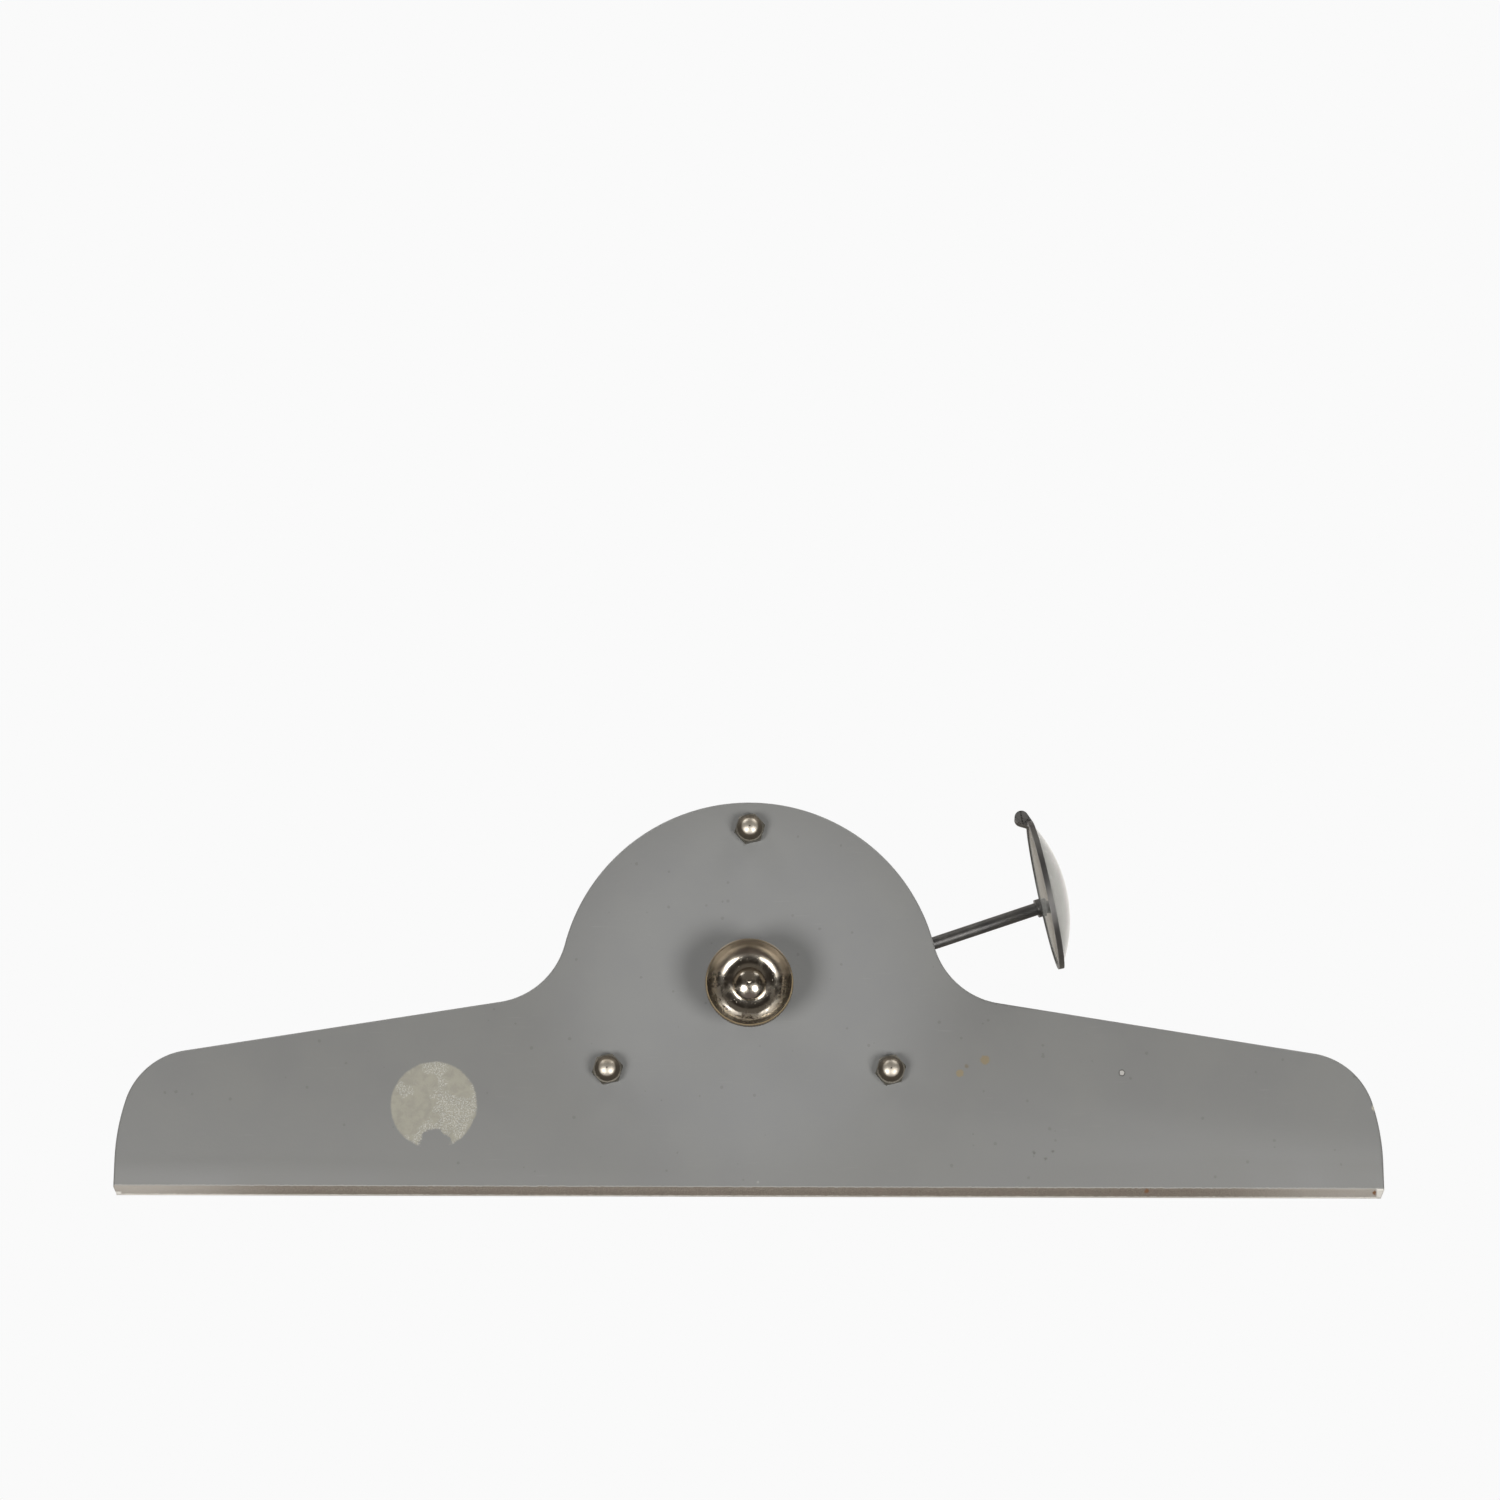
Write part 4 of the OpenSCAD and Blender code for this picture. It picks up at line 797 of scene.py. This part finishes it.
def blackened(name):
    """Chemically blackened steel, rubbed to bare metal along its edges."""
    f = Finish(name, Metallic=0.85)
    t = f.tree
    grain = effect(t, FINE_GRAIN, Scale=2600.0, Fine_Share=0.6)
    cloud = rescale(t, grain["Mottle"], 0.3, 0.7)
    colour = blend_colours(t, cloud, srgb(98, 97, 96), srgb(122, 120, 117))
    edge = effect(t, EDGE_WEAR, Radius=0.0004, Breakup_Scale=1300.0, Cover=0.35)["Mask"]
    lines = effect(t, HAIRLINES, Scale=4200.0, Threshold=0.66)["Mask"]
    bright = calc(t, "MAXIMUM", edge, times(t, lines, 0.6), clamp=True)
    colour = blend_colours(t, times(t, bright, 0.75), colour, srgb(160, 158, 154))
    rough = calc(t, "MULTIPLY_ADD", bright, -0.12, rescale(t, cloud, 0.0, 1.0, 0.42, 0.5))
    f.feed(Base_Color=colour, Roughness=rough, Normal=f.bump(grain["Height"], 0.00001, 0.5))
    return f.material


# Dial enamel, ink, rubber, leather, fibre, celluloid and glass

def dial_enamel():
    f = Finish("dial_enamel", Metallic=0.0)
    t = f.tree
    grain = effect(t, FINE_GRAIN, Scale=1500.0, Fine_Share=0.3)
    age = effect(t, TARNISH, Scale=160.0, Start=0.4, Full=0.8)["Mask"]
    colour = blend_colours(t, age, srgb(226, 223, 212), srgb(210, 203, 184))
    f.feed(Base_Color=colour, Roughness=rescale(t, grain["Mottle"], 0.2, 0.8, 0.34, 0.46),
           Normal=f.bump(grain["Height"], 0.000015, 0.4))
    return f.material


def ink(name, seen, faded):
    """Printing ink, faded in patches."""
    f = Finish(name, Metallic=0.0)
    t = f.tree
    worn = effect(t, TARNISH, Scale=900.0, Start=0.5, Full=0.85)["Mask"]
    f.feed(Base_Color=blend_colours(t, worn, srgb(*seen), srgb(*faded)),
           Roughness=rescale(t, worn, 0.0, 1.0, 0.5, 0.65))
    return f.material


def matt(name, dark, light, rough, scale, depth):
    """A dull grainy finish for rubber, leather, fibre and black paint."""
    f = Finish(name, Metallic=0.0)
    t = f.tree
    grain = effect(t, FINE_GRAIN, Scale=scale, Fine_Share=0.7)
    colour = blend_colours(t, rescale(t, grain["Mottle"], 0.3, 0.7), srgb(*dark), srgb(*light))
    pits = effect(t, SPECKS, Scale=scale * 0.5, Rarity=0.7)["Mask"]
    darker = [int(c * 0.6) for c in dark]
    colour = blend_colours(t, times(t, pits, 0.25), colour, srgb(*darker))
    height = calc(t, "SUBTRACT", grain["Height"], pits)
    f.feed(Base_Color=colour, Roughness=rescale(t, grain["Mottle"], 0.2, 0.8, rough - 0.06, rough + 0.06),
           Normal=f.bump(height, depth, 0.6))
    return f.material


def clear(name, tint, ior, rough, scale, depth, milky=0.0):
    """Glass or celluloid with very light hairlines, and perhaps a milky skin of age."""
    f = Finish(name, Metallic=0.0, Transmission_Weight=1.0 - milky, IOR=ior)
    t = f.tree
    lines = effect(t, HAIRLINES, Scale=scale, Threshold=0.7)["Mask"]
    haze = effect(t, TARNISH, Scale=120.0, Start=0.5, Full=0.9)["Mask"]
    f.feed(Base_Color=blend_colours(t, times(t, haze, 0.3), srgb(*tint[0]), srgb(*tint[1])),
           Roughness=calc(t, "MULTIPLY_ADD", lines, 0.1, rough),
           Normal=f.bump(lines, depth, 0.3))
    return f.material


FINISHES = {
    "grey_paint": grey_paint("grey_paint_cover"),
    "nickel": plated_nickel("nickel_plate", 0.06, 0.16, 0.3, (0.62, 0.45), (116, 107, 95), rim=10.6),
    "steel": turned_metal("oiled_steel", (176, 173, 168), (140, 136, 130), 0.24, 0.36),
    "blackened_steel": blackened("blackened_steel_finish"),
    "brass": turned_metal("aged_brass", (196, 164, 104), (150, 120, 72), 0.26, 0.42),
    "drum_alloy": turned_metal("drum_alloy_finish", (188, 188, 187), (164, 164, 162), 0.32, 0.44),
    "dial_enamel": dial_enamel(),
    "pointer_black": matt("pointer_black_finish", (26, 26, 27), (38, 38, 38), 0.42, 2600.0, 0.00001),
    "gasket_rubber": matt("gasket_rubber_finish", (34, 33, 32), (46, 44, 42), 0.72, 1900.0, 0.00003),
    "lining_leather": matt("lining_leather_finish", (112, 78, 48), (138, 100, 64), 0.7, 1500.0, 0.00005),
    "red_fibre": matt("red_fibre_finish", (118, 44, 34), (140, 58, 44), 0.6, 2400.0, 0.00002),
    "window_clear": clear("window_clear_finish", ((246, 244, 236), (232, 226, 206)), 1.49, 0.03,
                          3000.0, 0.00001),
    "lens_glass": clear("lens_glass_finish", ((206, 206, 200), (194, 193, 186)), 1.52, 0.0,
                        4200.0, 0.000004, milky=0.34),
}
NUT_NICKEL = plated_nickel("nickel_plate_nuts", 0.1, 0.44, 0.52, (0.88, 0.74), (92, 83, 70), hexagon_y=-16.6)
CASTING_PAINT = grey_paint("grey_paint_casting", marks=True)
INKS = {"ink_black": ink("ink_black", (28, 27, 28), (70, 68, 66)),
        "ink_red": ink("ink_red", (168, 36, 30), (186, 92, 78))}

for node in nodes.values():
    for used in node.material_slots:
        used.material = FINISHES[used.material.name.split(".")[0]]
for used in nodes["dome_nuts"].material_slots:
    used.material = NUT_NICKEL
casting.data.materials.clear()
casting.data.materials.append(CASTING_PAINT)
for name, _, _, tint in GRADUATIONS:
    graduations[name].data.materials.append(INKS[tint])


# Floor, light and camera, in metres

WHITE = (250, 250, 250)
WORLD_LIGHT = 0.02
SURROUND_R = 3.0
FLOOR_WIDTH = 12.0
FLOOR_DROP = 0.00002
FLOOR_GLOW = 0.85
CLEAR_AHEAD_OF_Y = -0.01282
PLATE_MIDDLE = Vector((0, FRONT_Y * MM, AXIS_Z * MM))
# Name, direction from the plate, distance, size, power, and whether metal and glass reflect it.
# One that isn't in the middle has a twin on the other side.
LAMPS = [
    ("key", (0.475, -0.82, -0.32), 2.4, 1.0, 30.2, True),
    ("fill", (0.51, -0.17, 0.84), 0.75, 0.38, 1.5, True),
    ("overhead", (0.0, 0.5, 1.0), 1.3, 1.0, 9.0, False),
    ("back", (0.6, 0.75, 0.35), 1.7, 2.2, 9.0, True),
]
VIEWER_PLACE, VIEWER_TILT, VIEWER_TURN, VIEWER_LENS = (0.0, -0.809, -0.0635), 102.27, 0.16, 79.2


def light_path_mix(tree, seen, lit):
    """The seen shader for camera, glossy and transmission rays, the lit one for the rest."""
    path = add(tree, "LightPath").outputs
    direct = calc(tree, "MAXIMUM", path["Is Camera Ray"],
                  calc(tree, "MAXIMUM", path["Is Glossy Ray"], path["Is Transmission Ray"]))
    node = add(tree, "MixShader", {0: direct, 1: lit, 2: seen})
    return node.outputs[0]


def make_world():
    """A white background that gives almost no light."""
    world = bpy.data.worlds.new("plain_surround")
    bpy.context.scene.world = world
    world.use_nodes = True
    tree = world.node_tree
    tree.nodes.clear()
    seen = add(tree, "Background", {"Color": srgb(*WHITE), "Strength": 1.0}).outputs[0]
    lit = add(tree, "Background", {"Color": (1.0, 1.0, 1.0, 1.0), "Strength": WORLD_LIGHT}).outputs[0]
    end = tree.nodes.new("ShaderNodeOutputWorld")
    tree.links.new(light_path_mix(tree, seen, lit), end.inputs["Surface"])


def plain_sheet(name, width, matrix):
    """A square sheet that is part of the stage."""
    mesh = bpy.data.meshes.new(name)
    bm = bmesh.new()
    half = width / 2
    corners = ((-half, -half), (half, -half), (half, half), (-half, half))
    bm.faces.new([bm.verts.new((u, v, 0)) for u, v in corners])
    bm.to_mesh(mesh)
    bm.free()
    sheet = bpy.data.objects.new(name, mesh)
    sheet.matrix_world = matrix
    bpy.context.scene.collection.objects.link(sheet)
    return sheet


def make_floor():
    """A pale floor in the background's white, darkened only where the object shades it.

    The viewer is a little below it. Seen from there it is the same white, and clear in front of the foot.
    """
    floor = plain_sheet("pale_floor", FLOOR_WIDTH, Matrix.Translation((0, 0, -FLOOR_DROP)))
    material = bpy.data.materials.new("pale_floor")
    material.use_nodes = True
    tree = material.node_tree
    pale = tree.nodes["Principled BSDF"]
    pale.inputs["Base Color"].default_value = srgb(244, 244, 244)
    pale.inputs["Roughness"].default_value = 0.9
    pale.inputs["Specular IOR Level"].default_value = 0.0
    grey = add(tree, "BsdfDiffuse", {"Color": srgb(60, 60, 60)}).outputs[0]
    glow = add(tree, "Emission", {"Color": srgb(*WHITE), "Strength": 1.0}).outputs[0]
    seen = add(tree, "MixShader", {0: FLOOR_GLOW, 1: pale.outputs[0], 2: glow}).outputs[0]
    path = add(tree, "LightPath").outputs
    looked_at = calc(tree, "MAXIMUM", path["Is Camera Ray"], path["Is Transmission Ray"])
    above = add(tree, "MixShader", {0: looked_at, 1: grey, 2: seen}).outputs[0]
    y = add(tree, "SeparateXYZ", {0: object_place(tree)}).outputs["Y"]
    ahead = calc(tree, "LESS_THAN", y, CLEAR_AHEAD_OF_Y)
    nothing = add(tree, "BsdfTransparent").outputs[0]
    below = add(tree, "MixShader", {0: ahead, 1: glow, 2: nothing}).outputs[0]
    under = add(tree, "NewGeometry").outputs["Backfacing"]
    both = add(tree, "MixShader", {0: under, 1: above, 2: below}).outputs[0]
    tree.links.new(both, tree.nodes["Material Output"].inputs["Surface"])
    floor.data.materials.append(material)
    floor.visible_glossy = False
    floor.visible_shadow = False


def aim(place, target):
    """A transform at place whose -Z points at the target."""
    turn = (Vector(target) - Vector(place)).to_track_quat("-Z", "Y")
    return Matrix.Translation(place) @ turn.to_matrix().to_4x4()


def softbox(name, direction, distance, size, power, in_metal):
    """A round soft lamp that points at the middle of the plate."""
    lamp = bpy.data.lights.new(name, "AREA")
    lamp.shape, lamp.size, lamp.energy = "DISK", size, power
    holder = bpy.data.objects.new(name, lamp)
    holder.matrix_world = aim(PLATE_MIDDLE + Vector(direction).normalized() * distance, PLATE_MIDDLE)
    holder.visible_glossy = in_metal
    holder.visible_transmission = False
    bpy.context.scene.collection.objects.link(holder)


def dim_surround():
    """A dim brown globe, seen only in reflections: darkest ahead, less so high up and low down."""
    def ball(bm):
        bmesh.ops.create_icosphere(bm, subdivisions=4, radius=SURROUND_R / MM,
                                   matrix=Matrix.Translation((0, FRONT_Y, AXIS_Z)))

    globe = bpy.data.objects.new("dim_surround", mesh_from("dim_surround", ball))
    bpy.context.scene.collection.objects.link(globe)
    material = bpy.data.materials.new("dim_surround")
    material.use_nodes = True
    tree = material.node_tree
    tree.nodes.clear()
    x, y, z = add(tree, "SeparateXYZ", {0: object_place(tree)}).outputs
    ahead = rescale(tree, y, 0.6, -0.9)
    centre = rescale(tree, calc(tree, "ABSOLUTE", x), 2.1, 1.5)
    high = times(tree, rescale(tree, z, 0.9, 1.3), centre)
    low = times(tree, rescale(tree, z, -1.5, -2.0), centre)
    front = blend_colours(tree, high, srgb(40, 35, 30), srgb(98, 94, 89))
    front = blend_colours(tree, low, front, srgb(112, 104, 103))
    colour = blend_colours(tree, ahead, srgb(150, 143, 134), front)
    glow = add(tree, "Emission", {"Color": colour, "Strength": 1.0})
    end = tree.nodes.new("ShaderNodeOutputMaterial")
    tree.links.new(glow.outputs[0], end.inputs["Surface"])
    globe.data.materials.append(material)
    globe.visible_camera = globe.visible_diffuse = globe.visible_shadow = globe.visible_transmission = False


make_world()
make_floor()
dim_surround()
for name, (x, y, z), *settings in LAMPS:
    for ending, side in (("_left", -1), ("_right", 1)) if x else (("", 1),):
        softbox(name + ending, (side * x, y, z), *settings)

viewer = bpy.data.cameras.new("viewer")
viewer.lens, viewer.sensor_width, viewer.clip_start = VIEWER_LENS, 36.0, 0.01
camera = bpy.data.objects.new("viewer", viewer)
camera.matrix_world = (Matrix.Translation(VIEWER_PLACE) @ Matrix.Rotation(math.radians(VIEWER_TILT), 4, "X")
                       @ Matrix.Rotation(math.radians(VIEWER_TURN), 4, "Z"))
bpy.context.scene.collection.objects.link(camera)
bpy.context.scene.camera = camera
bpy.context.scene.view_settings.view_transform = "Standard"
